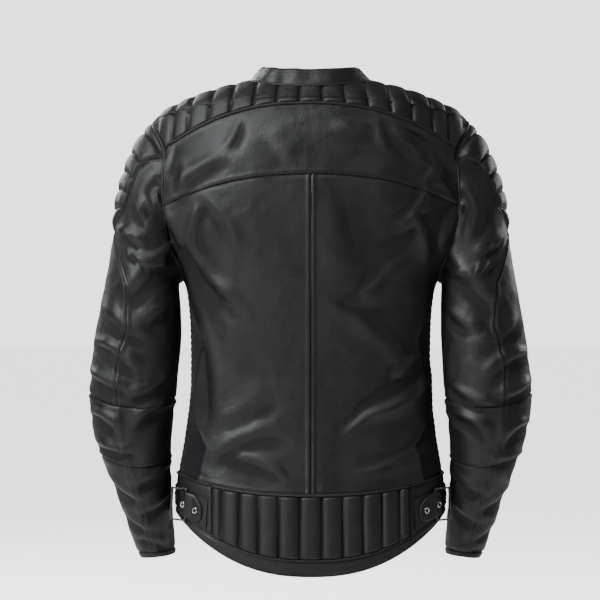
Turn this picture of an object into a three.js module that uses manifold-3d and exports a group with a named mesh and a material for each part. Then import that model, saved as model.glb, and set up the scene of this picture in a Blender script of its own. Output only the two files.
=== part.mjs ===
// Leather riding jacket: quilted shoulders and lower back, stretch sides, waist straps in slide frames.
// Millimetres, +Z up. The front faces -Y and the wearer's left is +X. The origin is the centre of the neck
// opening, level with the collar seam at the centre back.

import * as THREE from "three";
import { mergeVertices } from "three/addons/utils/BufferGeometryUtils.js";
import Module from "manifold-3d";

const wasm = await Module();
wasm.setup();

// ---------------------------------------------------------------- driving dimensions

const LEATHER = 2.5;            // a leather panel with its backing
const QUILT_RISE = 4;           // how far the foam-filled panels stand proud
const SEAM_GAP = 0.4;           // left on each side of a seam
const ARMHOLE_GAP = 2;
const LINING_THICKNESS = 1.4;
const ARMOUR = { top: -5, bottom: -10 };

// The front edge is one straight line, so that the zip slider can run along it.
const FRONT_NECK = { z: -52, depth: 89 };
const FRONT_LEAN = 0.066;       // depth gained for each millimetre down
const FRONT_EDGE = 7;           // from the centre line to the leather edge beside the teeth

// The armhole is an oval in side view.
const ARMHOLE = { z: -158, halfDepth: 70, halfHeight: 112 };
const KIDNEY_HALF_WIDTH = 138;

// Body sections from the hem up. side and back are [distance from the axis, z], and frontZ is the height at
// the centre front.
const BODY = [
  { at: "hem", side: [189, -597], back: [113, -676], frontZ: -592 },
  { at: "kidney", side: [189, -588], back: [112.5, -654], frontZ: -580 },
  { at: "waist", side: [187, -540], back: [106, -565], frontZ: -540 },
  { at: "lumbar", side: [179, -490], back: [99, -500], frontZ: -490 },
  { at: "midriff", side: [172, -430], back: [97, -430], frontZ: -430 },
  { at: "ribs", side: [171, -360], back: [104, -355], frontZ: -360 },
  { at: "underarm", side: [174, -300], back: [112, -285], frontZ: -290 },
  { at: "armpit", side: [183, -262], back: [117, -225], frontZ: -240 },
  { at: "blades", side: [216, -225], back: [120, -172], frontZ: -195 },
  { at: "back_seam", side: [236, -184], back: [119, -124.5], frontZ: -155 },
  { at: "upper_back", side: [240, -150], back: [110, -75], frontZ: -122 },
  { at: "yoke", side: [238, -114.5], back: [91, -26], frontZ: -95 },
  { at: "shoulder", side: [222, -48], back: [82, -17], frontZ: -80 },
  { at: "mid_shoulder", side: [180, -19], back: [76, -11], frontZ: -70 },
  { at: "neck_side", side: [132, -1], back: [71, -6], frontZ: -61 },
  { at: "neck", side: [86, 10], back: [66, 0], frontZ: FRONT_NECK.z },
];
const BODY_SQUARENESS = 2.35;   // superellipse power: 2 is an ellipse

const COLLAR = [
  { side: [86, 10], back: [66, 0], frontZ: FRONT_NECK.z },
  { side: [67, 31], back: [54, 25], frontZ: -15 },
];

// Left sleeve sections from the armhole down: outer and inner are [x, z], the middle is at y, and dip is how
// far the back of the section hangs below its middle. The first one is the armhole itself.
const SLEEVE = [
  { at: "armhole" },
  { at: "cap", outer: [243, -76], inner: [184, -273], y: 0, depth: 73, dip: 0 },
  { at: "cap", outer: [259, -112], inner: [185, -277], y: 1, depth: 73, dip: 0 },
  { at: "cap", outer: [270, -150], inner: [185, -284], y: 2, depth: 72, dip: 0 },
  { at: "cap_end", outer: [277, -200], inner: [184, -297], y: 4, depth: 70, dip: 0 },
  { at: "biceps", outer: [286, -255], inner: [183, -320], y: 6, depth: 68, dip: 0 },
  { at: "biceps", outer: [298, -320], inner: [183, -352], y: 8, depth: 67, dip: 2 },
  { at: "biceps", outer: [307, -380], inner: [186, -394], y: 11, depth: 67, dip: 7 },
  { at: "elbow_top", outer: [311, -428], inner: [190, -436], y: 12, depth: 66, dip: 14 },
  { at: "elbow", outer: [306, -476], inner: [195, -478], y: 9, depth: 64, dip: 14 },
  { at: "elbow_end", outer: [296, -512], inner: [197, -520], y: 3, depth: 60, dip: 12 },
  { at: "forearm", outer: [279, -560], inner: [196.5, -564], y: -11, depth: 55, dip: 8 },
  { at: "forearm", outer: [264, -604], inner: [194.6, -604], y: -24, depth: 50.2, dip: 4.3 },
  { at: "cuff_seam", outer: [246.2, -655], inner: [192.4, -650], y: -39, depth: 44.8, dip: 0.2 },
  { at: "cuff", outer: [243, -664], inner: [192, -658], y: -42, depth: 44, dip: 0 },
];
const SLEEVE_SQUARENESS = 2.15;

// Half-angle of the seam between outer and under sleeve at each section, in degrees from the outermost line.
const SLEEVE_SEAM = [60, 48, 46, 42, 16, 66, 76, 68, 74];

const ZIP = { beadHalf: 3, beadRise: 2.6, tape: 1.2, clearance: 0.4, wall: 1.4, sliderLength: 12 };
const PULL = { width: 9, length: 26, thickness: 1.2, bar: 1, slotEnd: 6, slotHalf: 2 };
const BRIDGE = { half: 4.5, openHalf: 3, rise: 4.2, open: 2.8, width: 2.2 };

const STRAP = { low: 1.1, high: 1.72, thickness: 2 };
const FRAME = { length: 29, height: 46, side: 2.4, thickness: 2, barAngle: 71.8, lift: 3.4, tilt: 11 };

// ---------------------------------------------------------------- materials

const finish = (color, roughness, metalness = 0) =>
  new THREE.MeshStandardMaterial({ color, roughness, metalness, side: THREE.DoubleSide });

const MATERIAL = {
  leather: finish(0x1c1c1d, 0.5),
  stretch: finish(0x131217, 0.9),
  lining: finish(0x17171a, 0.75),
  armour: finish(0x30333a, 0.85),
  tape: finish(0x121213, 0.85),
  metal: finish(0x9a9a98, 0.32, 1),
};

// ---------------------------------------------------------------- numbers and lofts

const { PI, abs, floor, hypot, max, min, sin, cos, atan2 } = Math;
const radians = (degrees) => (degrees * PI) / 180;
const clamp = (value, low, high) => max(low, min(high, value));
const ease = (value) => clamp(value, 0, 1) ** 2 * (3 - 2 * clamp(value, 0, 1));
const steps = (from, to, count) =>
  Array.from({ length: count + 1 }, (_, k) => from + ((to - from) * k) / count);
const bodyRow = (at) => BODY.findIndex((section) => section.at === at);

// Rows from one place to another that neighbours share: the ends and the rings well between them, with the
// half rings too in the stretch that runs along the armhole.
function sharedRows(from, to, [fineFrom, fineTo]) {
  const inside = steps(0, 20, 40).filter((v) => v > from + 0.12 && v < to - 0.12);
  return [from, ...inside.filter((v) => v % 1 === 0 || (v > fineFrom && v < fineTo)), to];
}

// Straight-line reading of [position, value] stops.
function between(stops, position) {
  const next = stops.findIndex(([at]) => at >= position);
  if (next === 0) return stops[0][1];
  if (next < 0) return stops[stops.length - 1][1];
  const [[a, va], [b, vb]] = [stops[next - 1], stops[next]];
  return va + ((vb - va) * (position - a)) / (b - a);
}

// A smooth surface through rings, each a function from an angle to a point. v counts rings.
function loft(rings) {
  return (angle, v) => {
    const i = clamp(floor(v), 0, rings.length - 2);
    const f = v - i;
    const [a, b, c, d] = [-1, 0, 1, 2].map((k) => rings[clamp(i + k, 0, rings.length - 1)](angle));
    const weights = [
      ((2 - f) * f - 1) * f * 0.5,
      ((3 * f - 5) * f * f + 2) * 0.5,
      ((4 - 3 * f) * f + 1) * f * 0.5,
      (f - 1) * f * f * 0.5,
    ];
    const point = new THREE.Vector3();
    [a, b, c, d].forEach((ringPoint, k) => point.addScaledVector(ringPoint, weights[k]));
    return point;
  };
}

// The surface's tangents and outward normal.
function frameAt(surface, u, v) {
  const h = 0.004;
  const along = surface(u + h, v).sub(surface(u - h, v)).normalize();
  const up = surface(u, v + h).sub(surface(u, v - h)).normalize();
  const normal = new THREE.Vector3().crossVectors(up, along).normalize();
  return { along, up, normal };
}

// Millimetres along the surface for each radian.
function reachPerRadian(surface, u, v) {
  const h = 0.004;
  return surface(u + h, v).distanceTo(surface(u - h, v)) / (2 * h);
}

function lifted(surface, u, v, lift) {
  return surface(u, v).addScaledVector(frameAt(surface, u, v).normal, lift);
}

// ---------------------------------------------------------------- surfaces

const frontDepth = (z) => FRONT_NECK.depth + FRONT_LEAN * (FRONT_NECK.z - z);

// A section of the body or collar. The angle is 0 at the centre back and a quarter turn at the left side.
function sectionRing({ side, back, frontZ }) {
  return (angle) => {
    const [depth, middleZ] = cos(angle) >= 0 ? back : [frontDepth(frontZ), frontZ];
    const n = BODY_SQUARENESS;
    const reach = (abs(sin(angle) / side[0]) ** n + abs(cos(angle) / depth) ** n) ** (-1 / n);
    const y = reach * cos(angle);
    const middle = abs(y / depth) ** n;
    return new THREE.Vector3(reach * sin(angle), y, side[1] + (middleZ - side[1]) * middle);
  };
}

const body = loft(BODY.map(sectionRing));
const collarSurface = loft(COLLAR.map(sectionRing));

// Where an oval of the armhole's shape, grown by some millimetres, covers a point of the body.
function inArmhole(point, grow) {
  const y = point.y / (ARMHOLE.halfDepth + grow);
  const z = (point.z - ARMHOLE.z) / (ARMHOLE.halfHeight + grow);
  return hypot(y, z) < 1;
}

// Edges of the stretch panel in side view: y of its back and front edge at each height.
const STRETCH_BACK = [[-560, 66], [-500, 66], [-440, 30], [-350, 60], [-272, 22], [-262, 0]];
const STRETCH_FRONT = [[-560, -45], [-350, -45], [-272, -18], [-262, 0]];

// The first angle at which a ring of the body is blocked, on the way from one angle to another.
function firstBlocked(v, from, to, blocked) {
  const marks = steps(from, to, 90);
  const hit = marks.findIndex((angle) => blocked(body(angle, v)));
  if (hit < 0) return to;
  if (hit === 0) return from;
  let [clear, closed] = [marks[hit - 1], marks[hit]];
  for (let k = 0; k < 24; k += 1) {
    const middle = (clear + closed) / 2;
    if (blocked(body(middle, v))) closed = middle;
    else clear = middle;
  }
  return clear;
}

const SIDE = PI / 2;
const pastStretchBack = (p, gap) => p.z < -262 && p.z > -560 && p.y < between(STRETCH_BACK, p.z) + gap;
const pastStretchFront = (p, gap) => p.z < -262 && p.z > -560 && p.y > between(STRETCH_FRONT, p.z) - gap;

const backLimit = (v) =>
  firstBlocked(v, 0, SIDE, (p) => inArmhole(p, ARMHOLE_GAP) || pastStretchBack(p, SEAM_GAP));
const frontLimit = (v) =>
  firstBlocked(v, PI, SIDE, (p) => inArmhole(p, ARMHOLE_GAP) || pastStretchFront(p, SEAM_GAP));
const frontEdge = (surface) => (v) => {
  const depth = abs(surface(PI, v).y);
  return PI - Math.asin(FRONT_EDGE / depth);
};
const kidneyLimit = (v, gap) => firstBlocked(v, 0, SIDE, (p) => p.x > KIDNEY_HALF_WIDTH + gap);

// The armhole seam in space: its x for an angle that is 0 at the top and a quarter turn at the back.
const armholeSeam = (() => {
  const samples = [];
  for (const v of steps(bodyRow("armpit") - 0.5, bodyRow("shoulder"), 240)) {
    for (const [from, to] of [[0, SIDE], [PI, SIDE]]) {
      const angle = firstBlocked(v, from, to, (p) => inArmhole(p, 0));
      if (angle === to) continue;
      const p = body(angle, v);
      samples.push([atan2(p.y / ARMHOLE.halfDepth, (p.z - ARMHOLE.z) / ARMHOLE.halfHeight), p.x]);
    }
  }
  samples.sort((a, b) => a[0] - b[0]);
  const [first, last] = [samples[0], samples[samples.length - 1]];
  return [[last[0] - 2 * PI, last[1]], ...samples, [first[0] + 2 * PI, first[1]]];
})();

function armholeRing(angle) {
  const turned = atan2(sin(angle), cos(angle));
  const y = ARMHOLE.halfDepth * sin(angle);
  const z = ARMHOLE.z + ARMHOLE.halfHeight * cos(angle);
  return new THREE.Vector3(between(armholeSeam, turned), y, z);
}

// A sleeve section. The angle is 0 at the outermost line and a quarter turn at the back.
function sleeveRing({ outer, inner, y, depth, dip }) {
  return (angle) => {
    const n = SLEEVE_SQUARENESS;
    const reach = (abs(cos(angle)) ** n + abs(sin(angle)) ** n) ** (-1 / n);
    const [c, s] = [cos(angle) * reach, sin(angle) * reach];
    return new THREE.Vector3(
      (outer[0] + inner[0]) / 2 + ((outer[0] - inner[0]) / 2) * c,
      y + depth * s,
      (outer[1] + inner[1]) / 2 + ((outer[1] - inner[1]) / 2) * c - dip * max(0, s) ** 2,
    );
  };
}

const sleeve = loft([armholeRing, ...SLEEVE.slice(1).map(sleeveRing)]);
const sleeveSeam = (v) => radians(between(SLEEVE_SEAM.map((angle, k) => [k, angle]), v));

// ---------------------------------------------------------------- solids

function closedGeometry(points, triangles) {
  const geometry = new THREE.BufferGeometry();
  const coordinates = points.flatMap((p) => [p.x, p.y, p.z]);
  geometry.setAttribute("position", new THREE.Float32BufferAttribute(coordinates, 3));
  let volume = 0;
  for (const [a, b, c] of triangles) {
    volume += points[a].dot(new THREE.Vector3().crossVectors(points[b], points[c]));
  }
  geometry.setIndex(triangles.flatMap(([a, b, c]) => (volume > 0 ? [a, b, c] : [a, c, b])));
  return geometry;
}

// A closed shell on a surface. rows lists v; columns gives the angles at a row; outer and inner are lifts.
// A closed one goes right round and needs no end walls.
function shell({ surface, rows, columns, outer, inner, closed = false }) {
  const lift = (value, u, v) => (typeof value === "function" ? value(u, v) : value);
  const width = columns(rows[0]).length;
  const points = [];
  for (const value of [outer, inner]) {
    for (const v of rows) {
      for (const u of columns(v)) points.push(lifted(surface, u, v, lift(value, u, v)));
    }
  }
  const layer = rows.length * width;
  const at = (side, j, i) => side * layer + j * width + (i % width);
  const triangles = [];
  const quad = (a, b, c, d) => triangles.push([a, b, c], [a, c, d]);
  const spans = closed ? width : width - 1;
  for (let j = 0; j < rows.length - 1; j += 1) {
    for (let i = 0; i < spans; i += 1) {
      quad(at(0, j, i), at(0, j, i + 1), at(0, j + 1, i + 1), at(0, j + 1, i));
      quad(at(1, j, i), at(1, j + 1, i), at(1, j + 1, i + 1), at(1, j, i + 1));
    }
    if (!closed) {
      quad(at(0, j, 0), at(0, j + 1, 0), at(1, j + 1, 0), at(1, j, 0));
      quad(at(0, j, spans), at(1, j, spans), at(1, j + 1, spans), at(0, j + 1, spans));
    }
  }
  const top = rows.length - 1;
  for (let i = 0; i < spans; i += 1) {
    quad(at(0, 0, i), at(1, 0, i), at(1, 0, i + 1), at(0, 0, i + 1));
    quad(at(0, top, i), at(0, top, i + 1), at(1, top, i + 1), at(1, top, i));
  }
  return closedGeometry(points, triangles);
}

function solidOf(geometry) {
  const bare = geometry.clone();
  bare.deleteAttribute("normal");
  bare.deleteAttribute("uv");
  const merged = mergeVertices(bare, 1e-4);
  return new wasm.Manifold(new wasm.Mesh({
    numProp: 3,
    vertProperties: new Float32Array(merged.attributes.position.array),
    triVerts: new Uint32Array(merged.index.array),
  }));
}

function geometryOf(solid) {
  const mesh = solid.getMesh();
  const geometry = new THREE.BufferGeometry();
  geometry.setAttribute("position", new THREE.Float32BufferAttribute(mesh.vertProperties, 3));
  geometry.setIndex(new THREE.Uint32BufferAttribute(mesh.triVerts, 1));
  return geometry;
}

// The same piece for the wearer's right side.
function mirrored(geometry) {
  const copy = geometry.clone();
  const position = copy.attributes.position;
  for (let k = 0; k < position.count; k += 1) position.setX(k, -position.getX(k));
  if (!copy.index) copy.setIndex(steps(0, position.count - 1, position.count - 1));
  const index = copy.index;
  for (let k = 0; k < index.count; k += 3) {
    const second = index.getX(k + 1);
    index.setX(k + 1, index.getX(k + 2));
    index.setX(k + 2, second);
  }
  return copy;
}

const flatPoints = (outline) => outline.map(([x, y]) => new THREE.Vector2(x, y));

// A flat outline pushed straight up its own z.
function prism(outline, depth, holes = []) {
  const shape = new THREE.Shape(flatPoints(outline));
  shape.holes = holes.map((hole) => new THREE.Path(flatPoints(hole)));
  return new THREE.ExtrudeGeometry(shape, { depth, bevelEnabled: false });
}

const rectangle = (x0, y0, x1, y1) => [[x0, y0], [x1, y0], [x1, y1], [x0, y1]];
const box = (lo, hi) => new THREE.BoxGeometry(...hi.map((value, k) => value - lo[k]))
  .translate(...hi.map((value, k) => (value + lo[k]) / 2));

// Places a geometry made in local x, y, z onto three directions in space.
function placed(geometry, { across, back, along, origin }) {
  const matrix = new THREE.Matrix4().makeBasis(across, back, along).setPosition(origin);
  return geometry.clone().applyMatrix4(matrix);
}

const jacket = new THREE.Group();

function add(name, geometry, material) {
  const mesh = new THREE.Mesh(geometry, material);
  mesh.name = name;
  jacket.add(mesh);
}

function addPair(name, geometry, material) {
  add(`${name}_left`, geometry, material);
  add(`${name}_right`, mirrored(geometry), material);
}

// ---------------------------------------------------------------- body panels

const V = Object.fromEntries(BODY.map((section, k) => [section.at, k]));
const gapV = 0.02;              // half a seam gap, in rings
const BODY_FINE = [V.underarm, V.shoulder];

function bodyPanel({ from, to, limits, count, outer = 0 }) {
  return shell({
    surface: body,
    rows: sharedRows(from + gapV, to - gapV, BODY_FINE),
    columns: (v) => steps(...limits(v), count),
    outer,
    inner: -LEATHER,
  });
}

const centreGap = (v) => SEAM_GAP / reachPerRadian(body, 0, v);
const shoulderGap = 0.006;      // radians either side of the shoulder seam

add("yoke_quilted", bodyPanel({
  from: V.yoke, to: V.neck - 0.04, count: 16, outer: QUILT_RISE,
  limits: (v) => {
    const limit = min(backLimit(v), SIDE - shoulderGap);
    return [-limit, limit];
  },
}), MATERIAL.leather);

addPair("shoulder_front_quilted", bodyPanel({
  from: V.yoke, to: V.neck - 0.04, count: 7, outer: QUILT_RISE,
  limits: (v) => [max(frontLimit(v), SIDE + shoulderGap), frontEdge(body)(v)],
}), MATERIAL.leather);

add("back_upper_panel", bodyPanel({
  from: V.back_seam, to: V.yoke, count: 12,
  limits: (v) => [-backLimit(v), backLimit(v)],
}), MATERIAL.leather);

addPair("back_lower_panel", bodyPanel({
  from: V.waist, to: V.back_seam, count: 6,
  limits: (v) => [centreGap(v), backLimit(v)],
}), MATERIAL.leather);

addPair("front_panel", bodyPanel({
  from: V.waist, to: V.yoke, count: 7,
  limits: (v) => [frontLimit(v), frontEdge(body)(v)],
}), MATERIAL.leather);

add("kidney_panel_quilted", bodyPanel({
  from: V.kidney, to: V.waist, count: 14, outer: QUILT_RISE,
  limits: (v) => [-kidneyLimit(v, -SEAM_GAP), kidneyLimit(v, -SEAM_GAP)],
}), MATERIAL.leather);

addPair("waist_band", bodyPanel({
  from: V.kidney, to: V.waist, count: 14,
  limits: (v) => [kidneyLimit(v, SEAM_GAP), frontEdge(body)(v)],
}), MATERIAL.leather);

add("hem_band", bodyPanel({
  from: V.hem, to: V.kidney, count: 34,
  limits: (v) => [-frontEdge(body)(v), frontEdge(body)(v)],
}), MATERIAL.leather);

// The stretch panel fills what the back and front panels leave open under the arm, up to just below its tip.
const STRETCH_TOP = V.underarm + 0.62;

addPair("side_stretch", shell({
  surface: body,
  rows: sharedRows(V.waist + gapV, STRETCH_TOP, BODY_FINE),
  columns: (v) => steps(
    firstBlocked(v, 0, SIDE, (p) => pastStretchBack(p, -SEAM_GAP)),
    firstBlocked(v, PI, SIDE, (p) => pastStretchFront(p, -SEAM_GAP)),
    6,
  ),
  outer: -0.4,
  inner: -LEATHER + 0.4,
}), MATERIAL.stretch);

add("collar", shell({
  surface: collarSurface,
  rows: steps(0.14, 1, 2),
  columns: (v) => steps(-frontEdge(collarSurface)(v), frontEdge(collarSurface)(v), 28),
  outer: 1,
  inner: -2.4,
}), MATERIAL.leather);

// ---------------------------------------------------------------- sleeves

const S = { armhole: 0, capEnd: 4, elbow: 8, elbowEnd: 10, cuffSeam: 13, cuff: 14 };
const SLEEVE_START = 0.08;
const SLEEVE_FINE = [0, 5];
const CUFF_ZIP_ANGLE = radians(236);
const CUFF_SLIT = { from: 10.9, half: 6.6 };
const cuffSlit = (v) =>
  (v > CUFF_SLIT.from ? CUFF_SLIT.half : SEAM_GAP) / reachPerRadian(sleeve, CUFF_ZIP_ANGLE, v);
const seamAngleGap = (v) => SEAM_GAP / reachPerRadian(sleeve, sleeveSeam(v), v);

function sleevePanel({ from, to, limits, count, outer = 0 }) {
  return shell({
    surface: sleeve,
    rows: sharedRows(from, to, SLEEVE_FINE),
    columns: (v) => steps(...limits(v), count),
    outer,
    inner: -LEATHER,
  });
}

addPair("sleeve_cap_quilted", sleevePanel({
  from: SLEEVE_START, to: S.capEnd - gapV, count: 8, outer: QUILT_RISE,
  limits: (v) => [-sleeveSeam(v) + seamAngleGap(v), sleeveSeam(v) - seamAngleGap(v)],
}), MATERIAL.leather);

addPair("sleeve_outer", sleevePanel({
  from: S.capEnd + gapV, to: S.elbow - gapV, count: 6,
  limits: (v) => [-sleeveSeam(v) + seamAngleGap(v), sleeveSeam(v) - seamAngleGap(v)],
}), MATERIAL.leather);

addPair("sleeve_under", sleevePanel({
  from: SLEEVE_START, to: S.elbow - gapV, count: 9,
  limits: (v) => [sleeveSeam(v) + seamAngleGap(v), 2 * PI - sleeveSeam(v) - seamAngleGap(v)],
}), MATERIAL.leather);

addPair("elbow_panel", shell({
  surface: sleeve,
  rows: steps(S.elbow + gapV, S.elbowEnd - gapV, 2),
  columns: () => steps(0, 2 * PI, 16).slice(0, -1),
  outer: 0,
  inner: -LEATHER,
  closed: true,
}), MATERIAL.leather);

const roundFromSlit = (v) => [CUFF_ZIP_ANGLE - 2 * PI + cuffSlit(v), CUFF_ZIP_ANGLE - cuffSlit(v)];

addPair("forearm_panel", sleevePanel({
  from: S.elbowEnd + gapV, to: S.cuffSeam - gapV, count: 14, limits: roundFromSlit,
}), MATERIAL.leather);

addPair("cuff_band", sleevePanel({
  from: S.cuffSeam + gapV, to: S.cuff, count: 14, limits: roundFromSlit,
}), MATERIAL.leather);

// ---------------------------------------------------------------- lining and armour

const bodyLiningLift = (u, v) => -5 - 8.5 * ease((v - 1.5) / 2) * ease((V.neck - 0.2 - v) / 2.5);
const sleeveLiningLift = (u, v) => -8.4 - 4.4 * ease((12.5 - v) / 2.5);

const LINING_INSET = 0.17;      // radians short of the front edge

const bodyLining = shell({
  surface: body,
  rows: steps(V.kidney + 0.4, V.neck - 0.15, 10),
  columns: (v) => steps(-frontEdge(body)(v) + LINING_INSET, frontEdge(body)(v) - LINING_INSET, 22),
  outer: bodyLiningLift,
  inner: (u, v) => bodyLiningLift(u, v) - LINING_THICKNESS,
});
const liningArmhole = (side) => {
  const cutter = new THREE.CylinderGeometry(1, 1, 140, 28).rotateZ(PI / 2);
  cutter.scale(1, ARMHOLE.halfDepth - 8, ARMHOLE.halfHeight - 8);
  cutter.translate(side * 200, 0, ARMHOLE.z);
  return solidOf(cutter);
};
add("body_lining", geometryOf(
  solidOf(bodyLining).subtract(liningArmhole(1)).subtract(liningArmhole(-1)),
), MATERIAL.lining);

addPair("sleeve_lining", shell({
  surface: sleeve,
  rows: steps(0.5, S.cuff - 0.3, 7),
  columns: () => steps(0, 2 * PI, 12).slice(0, -1),
  outer: sleeveLiningLift,
  inner: (u, v) => sleeveLiningLift(u, v) - LINING_THICKNESS,
  closed: true,
}), MATERIAL.lining);

const protector = (surface, v0, v1, u0, u1, rows, count) => shell({
  surface,
  rows: steps(v0, v1, rows),
  columns: (v) => {
    const rounding = 1 - 0.35 * abs((2 * (v - v0)) / (v1 - v0) - 1) ** 3;
    const middle = (u0 + u1) / 2;
    return steps(middle - ((u1 - u0) / 2) * rounding, middle + ((u1 - u0) / 2) * rounding, count);
  },
  outer: ARMOUR.top,
  inner: ARMOUR.bottom,
});

add("back_protector", protector(body, 3.9, 10.4, -0.85, 0.85, 5, 6), MATERIAL.armour);
addPair("shoulder_protector", protector(sleeve, 0.7, 3.7, -0.8, 0.8, 3, 4), MATERIAL.armour);
addPair("elbow_protector", protector(sleeve, 6.8, 10.2, 0.35, 2.15, 4, 4), MATERIAL.armour);

// ---------------------------------------------------------------- zips

// Local axes of a zip: x across, y back into the garment, z towards its closed end. The tape's face is y = 0.
const beadTop = -ZIP.beadRise;
const plateBottom = beadTop - ZIP.clearance;
const plateTop = plateBottom - ZIP.wall;
const barAxis = plateTop - BRIDGE.open / 2;

// A whole tape with its bead of teeth, or its left half only.
function zipTape(length, tapeHalf, halfOnly = false) {
  const toothGap = 0.3;
  const outline = halfOnly
    ? [[toothGap, beadTop], [ZIP.beadHalf, beadTop], [ZIP.beadHalf, 0], [tapeHalf, 0], [tapeHalf, ZIP.tape],
      [toothGap, ZIP.tape]]
    : [[-ZIP.beadHalf, beadTop], [ZIP.beadHalf, beadTop], [ZIP.beadHalf, 0], [tapeHalf, 0],
      [tapeHalf, ZIP.tape], [-tapeHalf, ZIP.tape], [-tapeHalf, 0], [-ZIP.beadHalf, 0]];
  return prism(outline, length);
}

// The slider rides over the bead, with a bridge on top for its pull. It is centred on z = 0.
const zipSlider = (() => {
  const inside = ZIP.beadHalf + ZIP.clearance;
  const outside = inside + ZIP.wall;
  const cover = prism([[-outside, plateTop], [outside, plateTop], [outside, -ZIP.clearance],
    [inside, -ZIP.clearance], [inside, plateBottom], [-inside, plateBottom], [-inside, -ZIP.clearance],
    [-outside, -ZIP.clearance]], ZIP.sliderLength).translate(0, 0, -ZIP.sliderLength / 2);
  const { half, openHalf, rise, open, width } = BRIDGE;
  const sunk = 0.4;
  const arch = prism([[sunk, -half], [-rise, -half], [-rise, half], [sunk, half], [sunk, openHalf],
    [-open, openHalf], [-open, -openHalf], [sunk, -openHalf]], width);
  const standing = placed(arch, {
    across: new THREE.Vector3(0, 1, 0),
    back: new THREE.Vector3(0, 0, 1),
    along: new THREE.Vector3(1, 0, 0),
    origin: new THREE.Vector3(-width / 2, plateTop, 0),
  });
  return geometryOf(solidOf(cover).add(solidOf(standing)));
})();

// The pull hangs from its top bar, which turns under the slider's bridge. The bar is centred on the origin.
const zipPull = (() => {
  const { width, length, thickness, bar, slotEnd, slotHalf } = PULL;
  const half = width / 2;
  const shape = new THREE.Shape();
  shape.moveTo(-half + 2, bar);
  shape.lineTo(half - 2, bar);
  shape.lineTo(half, bar - 3);
  shape.lineTo(half, bar - length + half);
  shape.absarc(0, bar - length + half, half, 0, -PI, true);
  shape.lineTo(-half, bar - 3);
  shape.closePath();
  const barSlot = new THREE.Path(flatPoints(rectangle(-slotHalf, -slotEnd, slotHalf, -bar)));
  const thumbHole = new THREE.Path();
  thumbHole.absarc(0, bar - length + half + 1, 1.8, 0, 2 * PI, false);
  shape.holes.push(barSlot, thumbHole);
  const flat = new THREE.ExtrudeGeometry(shape, { depth: thickness, bevelEnabled: false, curveSegments: 4 });
  return flat.translate(0, 0, -thickness / 2).rotateX(PI / 2);
})();

const direction = (from, to) => to.clone().sub(from).normalize();

// Axes of a zip from its open end to its closed end, with its face turned to `face`.
function zipAxes(openEnd, closedEnd, face) {
  const along = direction(openEnd, closedEnd);
  const back = face.clone().negate().addScaledVector(along, face.dot(along)).normalize();
  const across = new THREE.Vector3().crossVectors(back, along).normalize();
  return { across, back, along };
}

// Slider and pull at a distance below the closed end.
function zipHardware(axes, closedEnd, sliderDrop) {
  const origin = closedEnd.clone().addScaledVector(axes.along, -sliderDrop);
  const pullOrigin = origin.clone().addScaledVector(axes.back, barAxis);
  return {
    slider: placed(zipSlider, { ...axes, origin }),
    pull: placed(zipPull, { ...axes, origin: pullOrigin }),
  };
}

const SLIDER_DROP = ZIP.sliderLength / 2 + 1;

// Front zip, along the straight front edge from the hem to the collar's top.
const FRONT_ZIP = { topZ: -19, bottomZ: -588, sink: 4, tapeHalf: 14 };
const frontPoint = (z) => new THREE.Vector3(0, -frontDepth(z) + FRONT_ZIP.sink, z);
const frontTop = frontPoint(FRONT_ZIP.topZ);
const frontBottom = frontPoint(FRONT_ZIP.bottomZ);
const frontAxes = zipAxes(frontBottom, frontTop, new THREE.Vector3(0, -1, 0));
const frontHalf = zipTape(frontTop.distanceTo(frontBottom), FRONT_ZIP.tapeHalf, true);
addPair("front_zip_tape", placed(frontHalf, { ...frontAxes, origin: frontBottom }), MATERIAL.tape);
const frontHardware = zipHardware(frontAxes, frontTop, SLIDER_DROP);
add("front_zip_slider", frontHardware.slider, MATERIAL.metal);
add("front_zip_pull", frontHardware.pull, MATERIAL.metal);

// Hand pocket zips, laid on the front panels and slanting out towards the side.
const POCKET = { low: [radians(131), 2.75], high: [radians(140), 5.35], lift: 3, tapeHalf: 9 };
const pocketLow = lifted(body, ...POCKET.low, POCKET.lift);
const pocketHigh = lifted(body, ...POCKET.high, POCKET.lift);
const pocketMiddle = [(POCKET.low[0] + POCKET.high[0]) / 2, (POCKET.low[1] + POCKET.high[1]) / 2];
const pocketAxes = zipAxes(pocketLow, pocketHigh, frameAt(body, ...pocketMiddle).normal);
const pocketTape = zipTape(pocketLow.distanceTo(pocketHigh), POCKET.tapeHalf);
addPair("pocket_zip_tape", placed(pocketTape, { ...pocketAxes, origin: pocketLow }), MATERIAL.tape);
const pocketHardware = zipHardware(pocketAxes, pocketHigh, SLIDER_DROP);
addPair("pocket_zip_slider", pocketHardware.slider, MATERIAL.metal);
addPair("pocket_zip_pull", pocketHardware.pull, MATERIAL.metal);

// Cuff zips, in the slit on the inner side of each forearm. The slider is at the cuff when the zip is closed.
const CUFF_ZIP = { top: 11.1, bottom: 13.95, sink: -5.4, tapeHalf: 7.6 };
const cuffTop = lifted(sleeve, CUFF_ZIP_ANGLE, CUFF_ZIP.top, CUFF_ZIP.sink);
const cuffBottom = lifted(sleeve, CUFF_ZIP_ANGLE, CUFF_ZIP.bottom, CUFF_ZIP.sink);
const cuffFace = frameAt(sleeve, CUFF_ZIP_ANGLE, (CUFF_ZIP.top + CUFF_ZIP.bottom) / 2).normal;
const cuffAxes = zipAxes(cuffBottom, cuffTop, cuffFace);
const cuffTape = zipTape(cuffTop.distanceTo(cuffBottom), CUFF_ZIP.tapeHalf);
addPair("cuff_zip_tape", placed(cuffTape, { ...cuffAxes, origin: cuffBottom }), MATERIAL.tape);
const cuffHardware = zipHardware(cuffAxes, cuffTop, cuffTop.distanceTo(cuffBottom) - PULL.length - 2);
addPair("cuff_zip_slider", cuffHardware.slider, MATERIAL.metal);
addPair("cuff_zip_pull", cuffHardware.pull, MATERIAL.metal);

// ---------------------------------------------------------------- waist adjusters

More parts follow.
